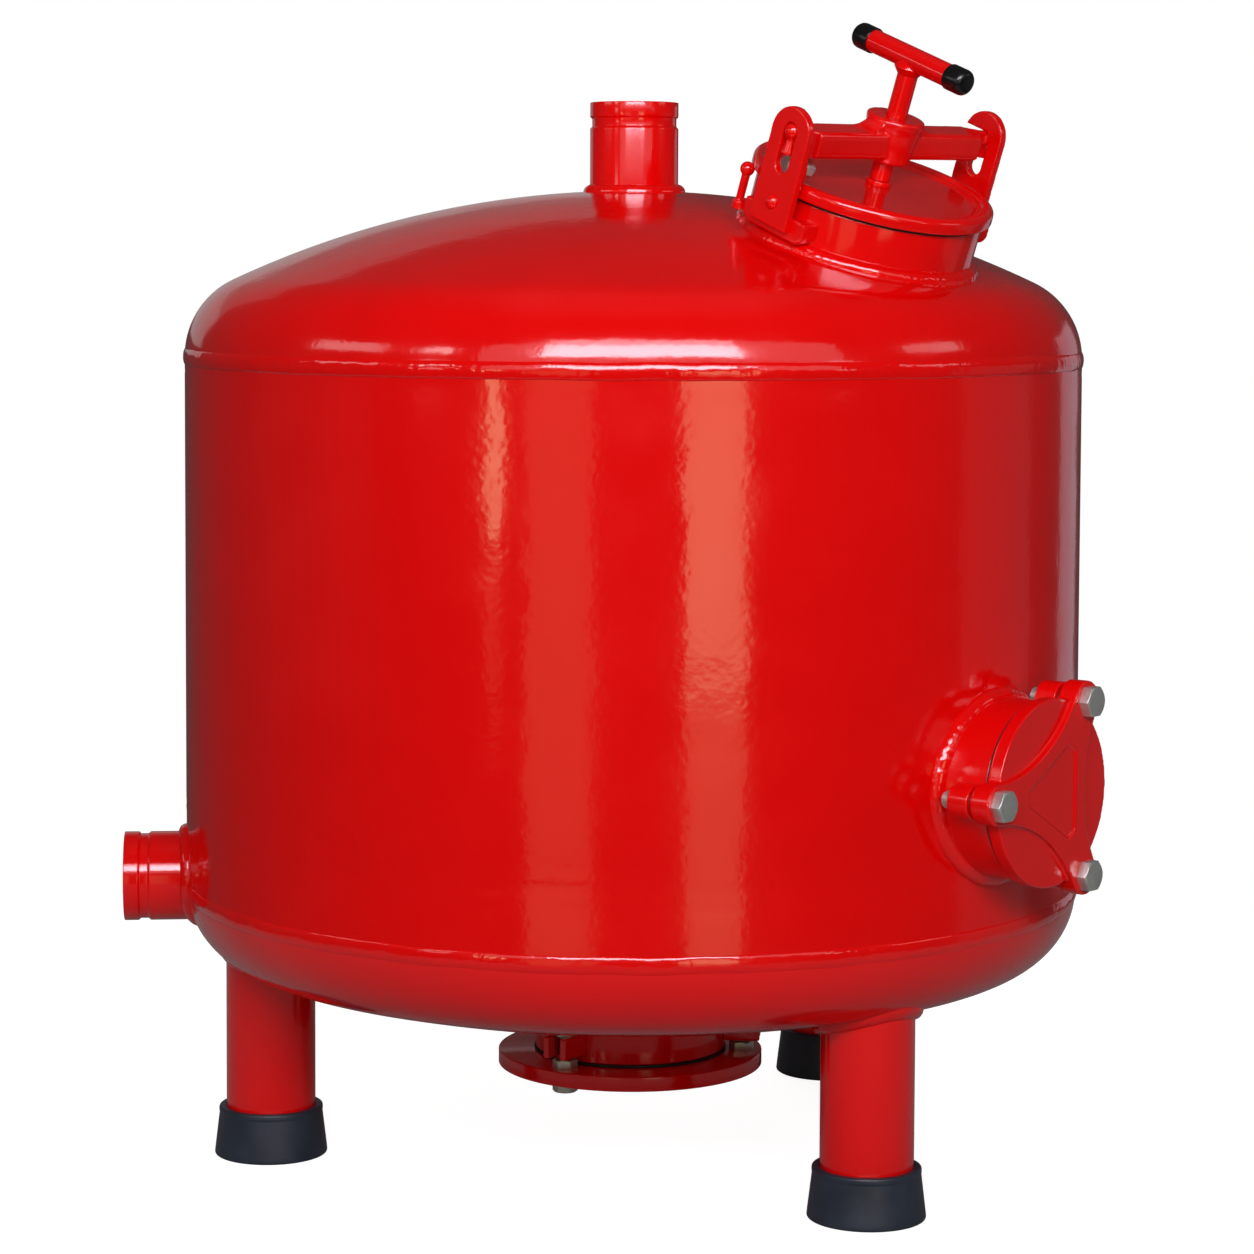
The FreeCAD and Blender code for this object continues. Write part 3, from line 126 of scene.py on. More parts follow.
# %% [markdown]
# ## Where a pipe meets the tank
# Necks, legs and weld beads all end on the tank's surface. One function tells how far a point is
# outside the shell and heads, and a second one walks along a pipe until that distance is zero.
# Halving the step forty times is slower than a formula, but works for any lean.

# %% Distance from the tank, and the meeting height
def outside_tank(point):
    """Millimetres from a point to the outside of the tank, negative inside it."""
    across = math.hypot(point.x, point.y) / MM
    for head in (TOP, BOTTOM):
        rise = head["side"] * (point.z / MM - head["seam"])
        if rise <= 0:
            continue
        above = head["side"] * (point.z / MM - head["middle"])
        reach = math.hypot(across, above)
        if across <= head["lean"] * reach:
            return reach - head["crown"]
        return math.hypot(across - (TANK - head["knuckle"]), rise) - head["knuckle"]
    return across - TANK


def meeting(place, x, y, low, high, outside=0):
    """Local height in mm at which the line through local (x, y) leaves the tank."""
    for _ in range(40):
        middle = (low + high) / 2
        if outside_tank(place @ (Vector((x, y, middle)) * MM)) > outside:
            high = middle
        else:
            low = middle
    return high


print("fill neck meets the head at", round(meeting(FILL, 0, 109, -150, 0), 1), "mm")


# %% [markdown]
# ## Turned shapes
# Tanks, pipes, lids and boots are all turned shapes, so their outline is drawn once as corners of
# (radius, height) and spun round Z. Corners may be rounded before the spin: a vertex bevel on the
# wire outline is far cheaper than a bevel on the finished mesh.

# %% Spin an outline
def spun(outline, steps=192, closed=True):
    """A bmesh turned from corners (radius, height) or (radius, height, rounding) in mm."""
    form = bmesh.new()
    corners = [form.verts.new((corner[0] * MM, 0, corner[1] * MM)) for corner in outline]
    for first, second in zip(corners, corners[1:]):
        form.edges.new((first, second))
    if closed:
        form.edges.new((corners[-1], corners[0]))
    for rounding in sorted({corner[2] for corner in outline if len(corner) > 2}):
        chosen = [v for v, corner in zip(corners, outline)
                  if len(corner) > 2 and corner[2] == rounding]
        bmesh.ops.bevel(form, geom=chosen, offset=rounding * MM, offset_type="OFFSET",
                        segments=4, profile=0.5, affect="VERTICES", material=-1)
    bmesh.ops.spin(form, geom=form.verts[:] + form.edges[:], cent=(0, 0, 0), axis=(0, 0, 1),
                   dvec=(0, 0, 0), angle=math.tau, steps=steps, use_merge=True,
                   use_duplicate=False)
    bmesh.ops.remove_doubles(form, verts=form.verts, dist=1e-6)
    bmesh.ops.recalc_face_normals(form, faces=form.faces)
    return form


def arc(centre, radius, start, end, count):
    """Points (radius, height) along an arc, angles in degrees from the radial direction."""
    found = []
    for step in range(count + 1):
        angle = math.radians(start + (end - start) * step / count)
        found.append((centre[0] + radius * math.cos(angle),
                      centre[1] + radius * math.sin(angle)))
    return found


# %% [markdown]
# ## From a bmesh to a piece that rides
# A finished piece keeps its place in its mesh, so its object stays at the origin. Faces that meet
# at a shallow angle are shaded smooth and the rest stay crisp. Each piece then rides on its CAD
# body and stands for the CAD nodes it replaces.

# %% Make and finish pieces
def solid_object(form, name, place=UPRIGHT):
    form.transform(place)
    mesh = bpy.data.meshes.new(name)
    form.to_mesh(mesh)
    form.free()
    shown = bpy.data.objects.new(name, mesh)
    bpy.context.scene.collection.objects.link(shown)
    return shown


def applied(shown):
    """Swap an object's mesh for the one its modifiers make."""
    graph = bpy.context.evaluated_depsgraph_get()
    made = bpy.data.meshes.new_from_object(shown.evaluated_get(graph))
    made.name = shown.name
    old = shown.data
    shown.modifiers.clear()
    shown.data = made
    bpy.data.meshes.remove(old)
    return shown


def joined_with(shown, form, place=UPRIGHT, how="DIFFERENCE"):
    """Cut another shape out of an object, or add or keep what they share."""
    tool = solid_object(form, "tool", place)
    step = shown.modifiers.new("step", "BOOLEAN")
    step.object, step.operation, step.solver = tool, how, "EXACT"
    applied(shown)
    bpy.data.objects.remove(tool)
    return shown


def dress(shown, body, slot, paint, *nodes, crisp=32):
    """Shade, paint and fasten a piece to its CAD body; it stands for the nodes named."""
    shown.data.shade_smooth()
    shown.data.set_sharp_from_angle(angle=math.radians(crisp))
    shown.data.materials.clear()
    shown.data.materials.append(paint)
    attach(shown, body)
    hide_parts(*nodes)
    shape = shown.data
    print("%-20s %6d faces" % (shown.name, len(shape.polygons)))
    return shown


def rod(radius, start, end, steps=48, rounding=0):
    """A turned bar between two heights, its edges rounded where asked."""
    edge = (rounding,) if rounding else ()
    return spun([(0, start), (radius, start) + edge, (radius, end) + edge, (0, end)], steps)


# %% [markdown]
# ## Colours and shader nodes
# The hex colours are sRGB, as a paint chart gives them, and the shader wants linear light, so one
# function converts them. Another adds a node, sets its values and links its inputs.

# %% Colour and node helpers
def linear(code):
    """An sRGB hex colour as linear red, green, blue and alpha."""
    parts = [int(code[i:i + 2], 16) / 255 for i in (1, 3, 5)]
    return [p / 12.92 if p <= 0.04045 else ((p + 0.055) / 1.055) ** 2.4 for p in parts] + [1]


def add(tree, kind, settings=None, values=None, links=None):
    """Add a shader node: settings on the node, values on its sockets, links into them."""
    made = tree.nodes.new(kind)
    for key, value in (settings or {}).items():
        setattr(made, key, value)
    for key, value in (values or {}).items():
        made.inputs[key].default_value = value
    for key, source in (links or {}).items():
        tree.links.new(source, made.inputs[key])
    return made


def material(name):
    """An empty node material with its output; returns it with its tree and output."""
    made = bpy.data.materials.new(name)
    made.use_nodes = True
    made.node_tree.nodes.clear()
    return made, made.node_tree, made.node_tree.nodes.new("ShaderNodeOutputMaterial")


# %% [markdown]
# ## Red enamel
# The vessel is blasted steel under a thick, glossy, oven-cured red coat. Close up such a coat is
# never flat: it has orange peel a few millimetres across, over slow waves from the rolled plate
# below. Both bend reflections, and that wobble is what tells the eye it is paint on steel. The
# colour is nearly even, a touch deeper where the coat is thick. Castings carry sand grit under
# the same coat, and weld beads a coarser ripple, so one recipe takes those sizes.

# %% Red enamel
def red_enamel(name, peel, peel_height, wave, wave_height, grit=0, grit_height=0, gloss=0.13):
    """Enamel on steel; sizes of peel, plate waves and sand grit in millimetres."""
    made, tree, out = material(name)
    where = add(tree, "ShaderNodeTexCoord").outputs["Object"]
    patches = add(tree, "ShaderNodeTexNoise", values={"Scale": 1 / (70 * MM), "Detail": 3.0},
                  links={"Vector": where})
    colour = add(tree, "ShaderNodeMix", {"data_type": "RGBA"},
                 {6: linear("#E20202"), 7: linear("#EB0303")},
                 {0: patches.outputs["Fac"]})
    sheen = add(tree, "ShaderNodeMapRange", values={
        "From Min": 0.3, "From Max": 0.7, "To Min": gloss - 0.03, "To Max": gloss + 0.04},
        links={"Value": patches.outputs["Fac"]})
    waves = add(tree, "ShaderNodeTexNoise", values={"Scale": 1 / (wave * MM), "Detail": 1.0},
                links={"Vector": where})
    peels = add(tree, "ShaderNodeTexNoise", values={"Scale": 1 / (peel * MM), "Detail": 1.5,
                                                    "Roughness": 0.4},
                links={"Vector": where})
    relief = add(tree, "ShaderNodeBump", values={"Strength": 1.0, "Distance": wave_height * MM},
                 links={"Height": waves.outputs["Fac"]})
    relief = add(tree, "ShaderNodeBump", values={"Strength": 1.0, "Distance": peel_height * MM},
                 links={"Height": peels.outputs["Fac"], "Normal": relief.outputs["Normal"]})
    if grit:
        grains = add(tree, "ShaderNodeTexNoise", values={"Scale": 1 / (grit * MM),
                                                         "Detail": 3.0},
                     links={"Vector": where})
        relief = add(tree, "ShaderNodeBump", values={"Strength": 1.0,
                                                     "Distance": grit_height * MM},
                     links={"Height": grains.outputs["Fac"],
                            "Normal": relief.outputs["Normal"]})
    shader = add(tree, "ShaderNodeBsdfPrincipled",
                 values={"IOR": 1.5, "Metallic": 0.0, "Coat Weight": 0.4, "Coat IOR": 1.5,
                         "Coat Roughness": 0.07},
                 links={"Base Color": colour.outputs[2], "Roughness": sheen.outputs["Result"],
                        "Normal": relief.outputs["Normal"],
                        "Coat Normal": relief.outputs["Normal"]})
    tree.links.new(shader.outputs["BSDF"], out.inputs["Surface"])
    return made


shell_enamel = red_enamel("red_enamel_on_rolled_plate", 7, 0.12, 60, 0.7)
pipe_enamel = red_enamel("red_enamel_on_drawn_pipe", 6, 0.03, 45, 0.12)
cast_enamel = red_enamel("red_enamel_on_sand_casting", 5, 0.05, 22, 0.2, 1.6, 0.03, 0.17)
weld_enamel = red_enamel("red_enamel_on_weld_bead", 3.5, 0.12, 12, 0.4, gloss=0.11)
print("enamels ready")

# %% [markdown]
# ## Rubber, plastic and zinc
# The boots are moulded natural rubber, dull and dark. Their faint bluish tint is a painted
# reflection: the base colour is lifted towards blue in place of a highlight from a light in front.
# The handle's caps are dipped vinyl, blacker and shinier. Bolts and nuts are zinc plated, a cool
# grey metal under a blotchy passive film. The film scatters part of the light, so the finish isn't
# fully metallic, and its roughness varies. The strainers inside are moulded black plastic.

# %% Rubber, vinyl, zinc and moulded plastic
def plain_finish(name, shade_a, shade_b, patch, rough_low, rough_high, grain, grain_height,
                 metallic=0.0, ior=None):
    """A finish of two near shades in patches, with uneven gloss and a fine grain, in mm."""
    made, tree, out = material(name)
    where = add(tree, "ShaderNodeTexCoord").outputs["Object"]
    patches = add(tree, "ShaderNodeTexNoise", values={"Scale": 1 / (patch * MM),
                                                      "Detail": 4.0},
                  links={"Vector": where})
    colour = add(tree, "ShaderNodeMix", {"data_type": "RGBA"},
                 {6: linear(shade_a), 7: linear(shade_b)}, {0: patches.outputs["Fac"]})
    sheen = add(tree, "ShaderNodeMapRange", values={
        "From Min": 0.3, "From Max": 0.7, "To Min": rough_low, "To Max": rough_high},
        links={"Value": patches.outputs["Fac"]})
    grains = add(tree, "ShaderNodeTexNoise", values={"Scale": 1 / (grain * MM), "Detail": 2.0},
                 links={"Vector": where})
    relief = add(tree, "ShaderNodeBump", values={"Strength": 1.0,
                                                 "Distance": grain_height * MM},
                 links={"Height": grains.outputs["Fac"]})
    shader = add(tree, "ShaderNodeBsdfPrincipled", values={"Metallic": metallic},
                 links={"Base Color": colour.outputs[2], "Roughness": sheen.outputs["Result"],
                        "Normal": relief.outputs["Normal"]})
    if ior:
        shader.inputs["IOR"].default_value = ior
    tree.links.new(shader.outputs["BSDF"], out.inputs["Surface"])
    return made


# Dark rubber, its two shades lifted towards blue as a painted reflection of a light in front.
boot_rubber = plain_finish("moulded_natural_rubber", "#17202A", "#2B3B48", 30, 0.36, 0.5,
                           1.5, 0.05, ior=1.52)
gasket_rubber = plain_finish("cut_sheet_rubber", "#0D0D0D", "#171717", 20, 0.5, 0.65, 1.0,
                             0.04, ior=1.52)
cap_vinyl = plain_finish("dipped_black_vinyl", "#0B0B0C", "#131415", 15, 0.2, 0.3, 2.5, 0.05,
                         ior=1.53)
zinc = plain_finish("zinc_plated_steel", "#B4BEB6", "#D3DAD2", 5, 0.28, 0.46, 1.2, 0.02,
                    metallic=0.7)
strainer_plastic = plain_finish("moulded_black_abs", "#101112", "#1A1B1C", 12, 0.35, 0.45, 1.2,
                                0.02, ior=1.54)
print("rubber, vinyl, zinc and plastic ready")

# %% [markdown]
# ## Shell and heads
# The shell is one rolled plate and the heads are spun caps with a flat crown and a tight
# knuckle. Their outlines hold both faces of the plate, so a look down a nozzle shows a real
# wall. Round openings on the axis come from starting the outline at the hole's edge, and the
# others are cut with a Boolean. Heat from the plate welded in behind leaves faint hollows low on
# the shell, about a quarter of a millimetre deep, which the outline carries too.

# %% Shell
shell_outline = [(445, 270), (450, 270), (450, 317), (449.7, 321), (450, 326), (449.75, 330),
                 (449.75, 344), (450, 348), (449.8, 353), (450, 358), (450, 782),
                 (449.8, 786), (450, 790), (450, 800), (445, 800)]
shell = solid_object(spun(shell_outline, 256), "rolled_shell")
joined_with(shell, rod(SERVICE_NECK + GAP, 300, 600, 128), SERVICE)
joined_with(shell, rod(PIPE + GAP, 300, 600, 96), OUTLET)
dress(shell, "vessel", "red_gloss_paint", shell_enamel, "tank_shell")


# %% Heads
def head_curve(head, inset, first_radius):
    """Points of a head's surface, moved in by inset, from the seam to first_radius."""
    knuckle, crown = head["knuckle"] - inset, head["crown"] - inset
    turn = math.degrees(math.acos(head["lean"])) * head["side"]
    rim = arc((TANK - head["knuckle"], head["seam"]), knuckle, 0, turn, 18)
    last = math.degrees(math.acos(first_radius / crown)) * head["side"]
    return rim + arc((0, head["middle"]), crown, turn, last, 40)[1:]


for head, name, node, opening in (
        (TOP, "spun_top_head", "top_head", PIPE + GAP),
        (BOTTOM, "spun_bottom_head", "bottom_head", DRAIN_NECK + GAP)):
    outline = head_curve(head, 0, opening) + head_curve(head, PLATE, opening)[::-1]
    cap = solid_object(spun(outline, 256), name)
    if head is TOP:
        joined_with(cap, rod(FILL_NECK + GAP, -180, 40, 128), FILL)
    else:
        joined_with(cap, rod(PIPE + GAP, 300, 600, 96), OUTLET)
    dress(cap, "vessel", "red_gloss_paint", shell_enamel, node)


# %% [markdown]
# ## Weld beads
# A hand-laid bead is a row of overlapping puddles, each a few millimetres long, and the welder's
# hand makes it wander. Its cross-section is spun round the pipe first. Then every vertex is moved:
# along the pipe to follow the tank's surface, and in or out by a ripple plus slow noise.

# %% Bead helpers
def ripple(angle, radius, seed, step=9.0):
    """Millimetres by which a bead swells at an angle round a circle of this radius."""
    along = angle * radius
    drift = noise.noise(Vector((along / 24, seed, 0.5)))
    puddle = abs(math.sin(math.pi * along / step + 3 * drift))
    return 0.25 * puddle + 1.1 * drift + 0.6 * noise.noise(Vector((along / 8, seed, 8.2)))


def fillet_bead(name, place, radius, leg, low, high, body, seed, *nodes):
    """A fillet weld where a pipe of this radius stands on the tank; its root stays still."""
    root = 0.3
    section = [(radius - 0.8, -2.5), (radius + leg + 0.4, -2.5)]
    for corner in arc((radius, 0), leg, 0, 90, 8):
        section.append(corner)
    section.append((radius - 0.8, leg))
    steps = max(160, int(radius * 4.5))
    form = spun(section, steps)
    heights = {}
    for vertex in form.verts:
        x, y, z = vertex.co / MM
        reach, angle = math.hypot(x, y), math.atan2(y, x)
        swell = ripple(angle, radius, seed)
        depth = math.hypot(max(reach - radius, 0), max(z, 0)) / leg
        grow = 1 + swell / leg * min(depth, 1)
        if depth > root:
            reach = radius + (reach - radius) * grow
            z *= grow
        key = (round(angle, 4), round(reach, 2))
        if key not in heights:
            heights[key] = meeting(place, reach * math.cos(angle), reach * math.sin(angle),
                                   low, high)
        vertex.co = Vector((reach * math.cos(angle), reach * math.sin(angle),
                            z + heights[key])) * MM
    bead = solid_object(form, name, place)
    return dress(bead, body, "red_gloss_paint", weld_enamel, *nodes, crisp=70)


# %% Seam beads between shell and heads
def seam_bead(name, node, head, seed):
    """A proud butt-weld bead round a seam, a little uneven along both edges."""
    side, seam = head["side"], head["seam"]
    section = [(TANK - 1.2, seam - 9.4), (TANK - 0.2, seam - 8)]
    for step in range(11):
        share = step / 10
        height = -8 + 16 * share
        back_off = 0
        if side * height > 0:
            back_off = head["knuckle"] - math.sqrt(head["knuckle"] ** 2 - height ** 2)
        section.append((TANK - back_off + 1.7 * math.sin(math.pi * share) ** 0.7,
                        seam + height))
    section.append((TANK - 1.6, seam + 9.4))
    section.append((TANK - 3, seam))
    form = spun(section, 900)
    for vertex in form.verts:
        x, y, z = vertex.co / MM
        reach, angle = math.hypot(x, y), math.atan2(y, x)
        proud = max(reach - TANK + 1.2, 0) / 3
        along = angle * TANK
        swell = (0.35 * noise.noise(Vector((along / 30, seed, 1)))
                 + 0.3 * noise.noise(Vector((along / 8, seed, z / 6)))
                 + 0.12 * abs(math.sin(math.pi * along / 7)))
        sway = 0.9 * noise.noise(Vector((along / 45, seed, 5)))
        reach += min(proud, 1) * (swell - 0.1)
        vertex.co = Vector((reach * math.cos(angle), reach * math.sin(angle), z + sway)) * MM
    bead = solid_object(form, name)
    return dress(bead, "vessel", "red_gloss_paint", weld_enamel, node, crisp=70)


seam_bead("top_seam_bead", "top_seam_weld", TOP, 3.1)
seam_bead("bottom_seam_bead", "bottom_seam_weld", BOTTOM, 7.7)

# %% [markdown]
# ## Grooved pipe nozzles
# Each nozzle is 3 inch pipe with a groove rolled near its mouth, in which a split coupling
# grips. Rolling leaves soft corners, and the mouth is slightly dressed inside and out.

# %% Nozzles
def nozzle_outline(mouth, end):
    """Wall of a grooved pipe from its mouth back to its end, heights in mm."""
    floor = PIPE - 2
    return [(PIPE_BORE, end), (PIPE, end), (PIPE, mouth - 25.8, 1.2), (floor, mouth - 24.4, 0.6),
            (floor, mouth - 16.1, 0.6), (PIPE, mouth - 14.8, 1.2), (PIPE, mouth, 0.9),
            (PIPE_BORE, mouth, 0.7)]


inlet = solid_object(spun(nozzle_outline(1055, 940), 160), "inlet_pipe")
dress(inlet, "vessel", "red_gloss_paint", pipe_enamel, "inlet_nozzle")
outlet = solid_object(spun(nozzle_outline(512, 440), 160), "outlet_pipe", OUTLET)
joined_with(outlet, rod(445, 180, 560, 256))
dress(outlet, "vessel", "red_gloss_paint", pipe_enamel, "outlet_nozzle")
fillet_bead("inlet_bead", UPRIGHT, PIPE, 6.5, 900, 1000, "vessel", 1.3, "inlet_weld")
fillet_bead("outlet_bead", OUTLET, PIPE, 7.5, 380, 500, "vessel", 5.9, "outlet_weld")


# %% [markdown]
# ## Legs and boots
# The legs are the same 3 inch pipe, coped to the head's curve. The pipe is spun with a level top,
# and its top vertices are then lifted to the head. Each stands in a black rubber boot that flares
# towards the floor, with a rolled lip and a shallow moulding line under it.

# %% Legs and boots
for place, heading, seed in (("front", -54, 2.2), ("left", -171, 4.4), ("rear", 52, 6.6)):
    x = 367 * math.cos(math.radians(heading))
    y = 367 * math.sin(math.radians(heading))
    under = moved(x, y, 0) @ UNDER
    form = spun([(PIPE_BORE, 9), (PIPE, 9, 0.6), (PIPE, 200), (PIPE_BORE, 200)], 128)
    for vertex in form.verts:
        if vertex.co.z > 0.15:
            top = -meeting(under, vertex.co.x / MM, -vertex.co.y / MM, -262, -120)
            vertex.co.z = (top - GAP) * MM
    leg = solid_object(form, "pipe_leg_" + place, moved(x, y, 0))
    dress(leg, "vessel", "red_gloss_paint", pipe_enamel, "leg_" + place)
    fillet_bead("leg_bead_" + place, under, PIPE, 7.5, -262, -120, "vessel", seed,
                "leg_weld_" + place)
    boot = solid_object(spun([(0, 0), (56.5, 0, 2.4), (55.9, 6, 1), (51.5, 42.5, 0.8),
                              (51.9, 44.2, 0.6), (51.7, 49, 1.8), (PIPE + GAP, 49, 1),
                              (PIPE + GAP, 9), (0, 9)], 128),
                        "rubber_boot_" + place, moved(x, y, 0))
    dress(boot, "vessel", "black_rubber", boot_rubber, "boot_" + place)

# %% [markdown]
# ## Hexagon heads, nuts and threads
# A real hexagon head has its corners turned off at thirty degrees, which leaves the curved edge
# that catches light on every flat. A six-sided block is therefore kept only where it overlaps a
# turned blank. The thread is a true helix: one tooth of the profile spun upwards by its pitch.

# %% Hexagons and threads
def hexagon(flats, height, chamfer_low=False, chamfer_high=True, bore=0):
    """A hexagon head or nut standing on Z = 0, with its corners turned off."""
    form = bmesh.new()
    bmesh.ops.create_circle(form, cap_ends=True, segments=6, radius=flats / math.sqrt(3) * MM,
                            matrix=Matrix.Rotation(math.radians(90), 4, "Z"))
    face = form.faces[:][0]
    raised = bmesh.ops.extrude_face_region(form, geom=[face])
    bmesh.ops.translate(form, verts=[v for v in raised["geom"]
                                     if isinstance(v, bmesh.types.BMVert)],
                        vec=(0, 0, height * MM))
    bmesh.ops.recalc_face_normals(form, faces=form.faces)
    wide, narrow = flats / math.sqrt(3) + 0.2, flats * 0.475
    fall = (wide - narrow) * math.tan(math.radians(30))
    blank = [(bore, 0)] + ([(narrow, 0), (wide, fall)] if chamfer_low else [(wide, 0)])
    blank += ([(wide, height - fall), (narrow, height)] if chamfer_high
              else [(wide, height)]) + [(bore, height)]
    shown = solid_object(form, "hexagon")
    joined_with(shown, spun(blank, 96), how="INTERSECT")
    form = bmesh.new()
    form.from_mesh(shown.data)
    bpy.data.objects.remove(shown)
    bmesh.ops.dissolve_limit(form, angle_limit=math.radians(1), verts=form.verts,
                             edges=form.edges)
    ridges = [e for e in form.edges if e.is_manifold and e.calc_face_angle(0) > 0.35]
    bmesh.ops.bevel(form, geom=ridges, offset=0.25 * MM, offset_type="OFFSET", segments=2,
                    profile=0.5, affect="EDGES", clamp_overlap=True, material=-1)
    return form


def threaded(radius, start, end, pitch, steps=28):
    """A threaded bar between two heights, the helix spun from one tooth."""
    depth = 0.61 * pitch
    turns = int((end - start) / pitch)
    form = bmesh.new()
    outline = [(radius - depth, 0), (radius, pitch * 0.44), (radius, pitch * 0.56),
               (radius - depth, pitch)]
    corners = [form.verts.new((r * MM, 0, (start + z) * MM)) for r, z in outline]
    for first, second in zip(corners, corners[1:]):
        form.edges.new((first, second))
    bmesh.ops.spin(form, geom=corners + form.edges[:], cent=(0, 0, 0), axis=(0, 0, 1),
                   dvec=(0, 0, pitch / steps * MM), angle=math.tau * turns,
                   steps=steps * turns, use_merge=False, use_duplicate=False)
    bmesh.ops.remove_doubles(form, verts=form.verts, dist=2e-6)
    bmesh.ops.recalc_face_normals(form, faces=form.faces)
    core = rod(radius - depth + 0.05, start, end, steps)
    mesh = bpy.data.meshes.new("core")
    core.to_mesh(mesh)
    core.free()
    form.from_mesh(mesh)
    bpy.data.meshes.remove(mesh)
    return form


def gathered(parts):
    """One bmesh of several (bmesh, matrix) pairs; the parts are used up."""
    whole = bmesh.new()
    for form, place in parts:
        form.transform(place)
        mesh = bpy.data.meshes.new("part")
        form.to_mesh(mesh)
        form.free()
        whole.from_mesh(mesh)
        bpy.data.meshes.remove(mesh)
    return whole


# %% [markdown]
# ## Cast and flame-cut pieces
# The yoke and the service cover are sand castings, and the ears and lugs are thick plate with
# worn edges, all under heavy paint. On such pieces no edge is sharp. A voxel remesh of a copy of
# the CAD solid, then a few rounds of smoothing, rounds every edge and inner corner at once, as
# paint and moulding sand do. Bevels would have to be chosen edge by edge.

# %% Rounded copies of CAD solids
def rounded_copy(name, voxel, rounds, *nodes):
    """A merged copy of CAD nodes, remeshed in voxels of this size in mm and smoothed."""
    form = bmesh.new()
    for node in nodes:
        form.from_mesh(NODES[node].data)
    bmesh.ops.remove_doubles(form, verts=form.verts, dist=2e-6)
    shown = solid_object(form, name)
    step = shown.modifiers.new("step", "REMESH")
    step.mode, step.voxel_size = "VOXEL", voxel * MM
    applied(shown)
    form = bmesh.new()
    form.from_mesh(shown.data)
    for _ in range(rounds):
        bmesh.ops.smooth_vert(form, verts=form.verts, factor=0.5, use_axis_x=True,
                              use_axis_y=True, use_axis_z=True)
    form.to_mesh(shown.data)
    form.free()
    return shown


# %% [markdown]
# ## The fill port
# A short neck leans out of the top head. Its lid has a rolled rim round a sunk middle and sits
# on a black gasket. Two slotted ears hold a cast yoke, and the screw through the yoke's hub
# presses the lid down. The yoke's balls rest under the round tops of the slots.

# %% Neck, gasket and lid
def coped_neck(name, node, place, radius, wall, rim, low, high):
    """A pipe from its rim back to the tank's inner face, with dressed edges at the rim."""
    middle = rim - 30
    form = spun([(radius - wall, middle - 10), (radius, middle - 10), (radius, rim, 1.2),
                 (radius - wall, rim, 0.8)], 192)
    for vertex in form.verts:
        if vertex.co.z < middle * MM:
            vertex.co.z = meeting(place, vertex.co.x / MM, vertex.co.y / MM, low, high,
                                  -PLATE) * MM
    neck = solid_object(form, name, place)
    dress(neck, "vessel", "red_gloss_paint", pipe_enamel, node)


coped_neck("leaning_fill_neck", "fill_neck", FILL, FILL_NECK, 6, 0, -150, -35)
fillet_bead("fill_bead", FILL, FILL_NECK, 8.5, -150, 0, "vessel", 9.4, "fill_weld")

gasket = solid_object(spun([(102.1, 0), (111, 0, 0.5), (111, 3, 0.5), (102.1, 3)], 192),
                      "lid_gasket_ring", FILL)
dress(gasket, "vessel", "black_rubber", gasket_rubber, "fill_gasket")

rim = [(0, 6.3), (97, 6.3), (101, 3, 1.5), (116, 3, 0.8), (117, 4.2, 0.6)]
rim += arc((110.5, 10.5), 6.5, 0, 150, 14)
rim += [(103.2, 14, 1.2), (101, 14, 1.5), (97, 11.3, 2), (0, 11.3)]
dish = spun(rim, 192)
lug = bmesh.new()
bmesh.ops.create_cube(lug, size=1, matrix=moved(0, 0, 20) @ Matrix.Diagonal(
    Vector((12, 19, 28, 1000)) * MM))
crown = [e for e in lug.edges if all(v.co.z > 0.03 for v in e.verts)
         and abs(e.verts[0].co.x - e.verts[1].co.x) > 0.005]
bmesh.ops.bevel(lug, geom=crown, offset=9.4 * MM, offset_type="OFFSET", segments=10,
                profile=0.5, affect="EDGES", material=-1)
LUG = moved(-99, 8, 0) @ Matrix.Rotation(math.radians(-19), 4, "Z")
lid = solid_object(gathered([(dish, UPRIGHT), (lug, LUG)]), "dished_fill_lid", FILL)
dress(lid, "lid", "red_gloss_paint", pipe_enamel, "fill_lid")

# %% Lid bolt and nut
ACROSS = Matrix.Rotation(math.radians(90), 4, "Y")
bolt = gathered([(hexagon(16, 8, chamfer_low=True, chamfer_high=False),
                  LUG @ moved(-14, 0, 24.5) @ ACROSS),
                 (threaded(5, -8, 17, 1.5), LUG @ moved(0, 0, 24.5) @ ACROSS)])
dress(solid_object(bolt, "lid_lug_bolt", FILL), "lid", "zinc_steel", zinc, "lid_bolt")
nut = gathered([(hexagon(16, 8), LUG @ moved(6, 0, 24.5) @ ACROSS)])
dress(solid_object(nut, "lid_lug_nut", FILL), "lid", "zinc_steel", zinc, "lid_nut")

# %% Ears, their bases and bolts, and the tether post
for side in ("left", "right"):
    dress(rounded_copy("slotted_ear_" + side, 0.9, 5, "ear_" + side), "vessel",
          "red_gloss_paint", cast_enamel, "ear_" + side, crisp=60)
    dress(rounded_copy("ear_foot_" + side, 1.0, 6, "ear_base_" + side), "vessel",
          "red_gloss_paint", cast_enamel, "ear_base_" + side, crisp=60)
dress(rounded_copy("ear_rivets", 0.6, 3, "ear_bolts"), "vessel", "red_gloss_paint",
      pipe_enamel, "ear_bolts", crisp=60)
dress(rounded_copy("tether_post_rod", 0.7, 4, "tether_post"), "vessel", "red_gloss_paint",
      pipe_enamel, "tether_post", crisp=60)

# %% Yoke
dress(rounded_copy("cast_yoke", 1.1, 6, "yoke_bar"), "yoke", "red_gloss_paint", cast_enamel,
      "yoke_bar", crisp=60)

# %% Ear nuts, clamp screw and thrust pad
nuts = gathered([(hexagon(13, 5, bore=4.1),
                  moved(side * 123, 0, -6.5) @ Matrix.Rotation(math.radians(-90 * side), 4, "Y"))
                 for side in (-1, 1)])
dress(solid_object(nuts, "ear_hex_nuts", CLAMP), "vessel", "zinc_steel", zinc, "ear_nuts")

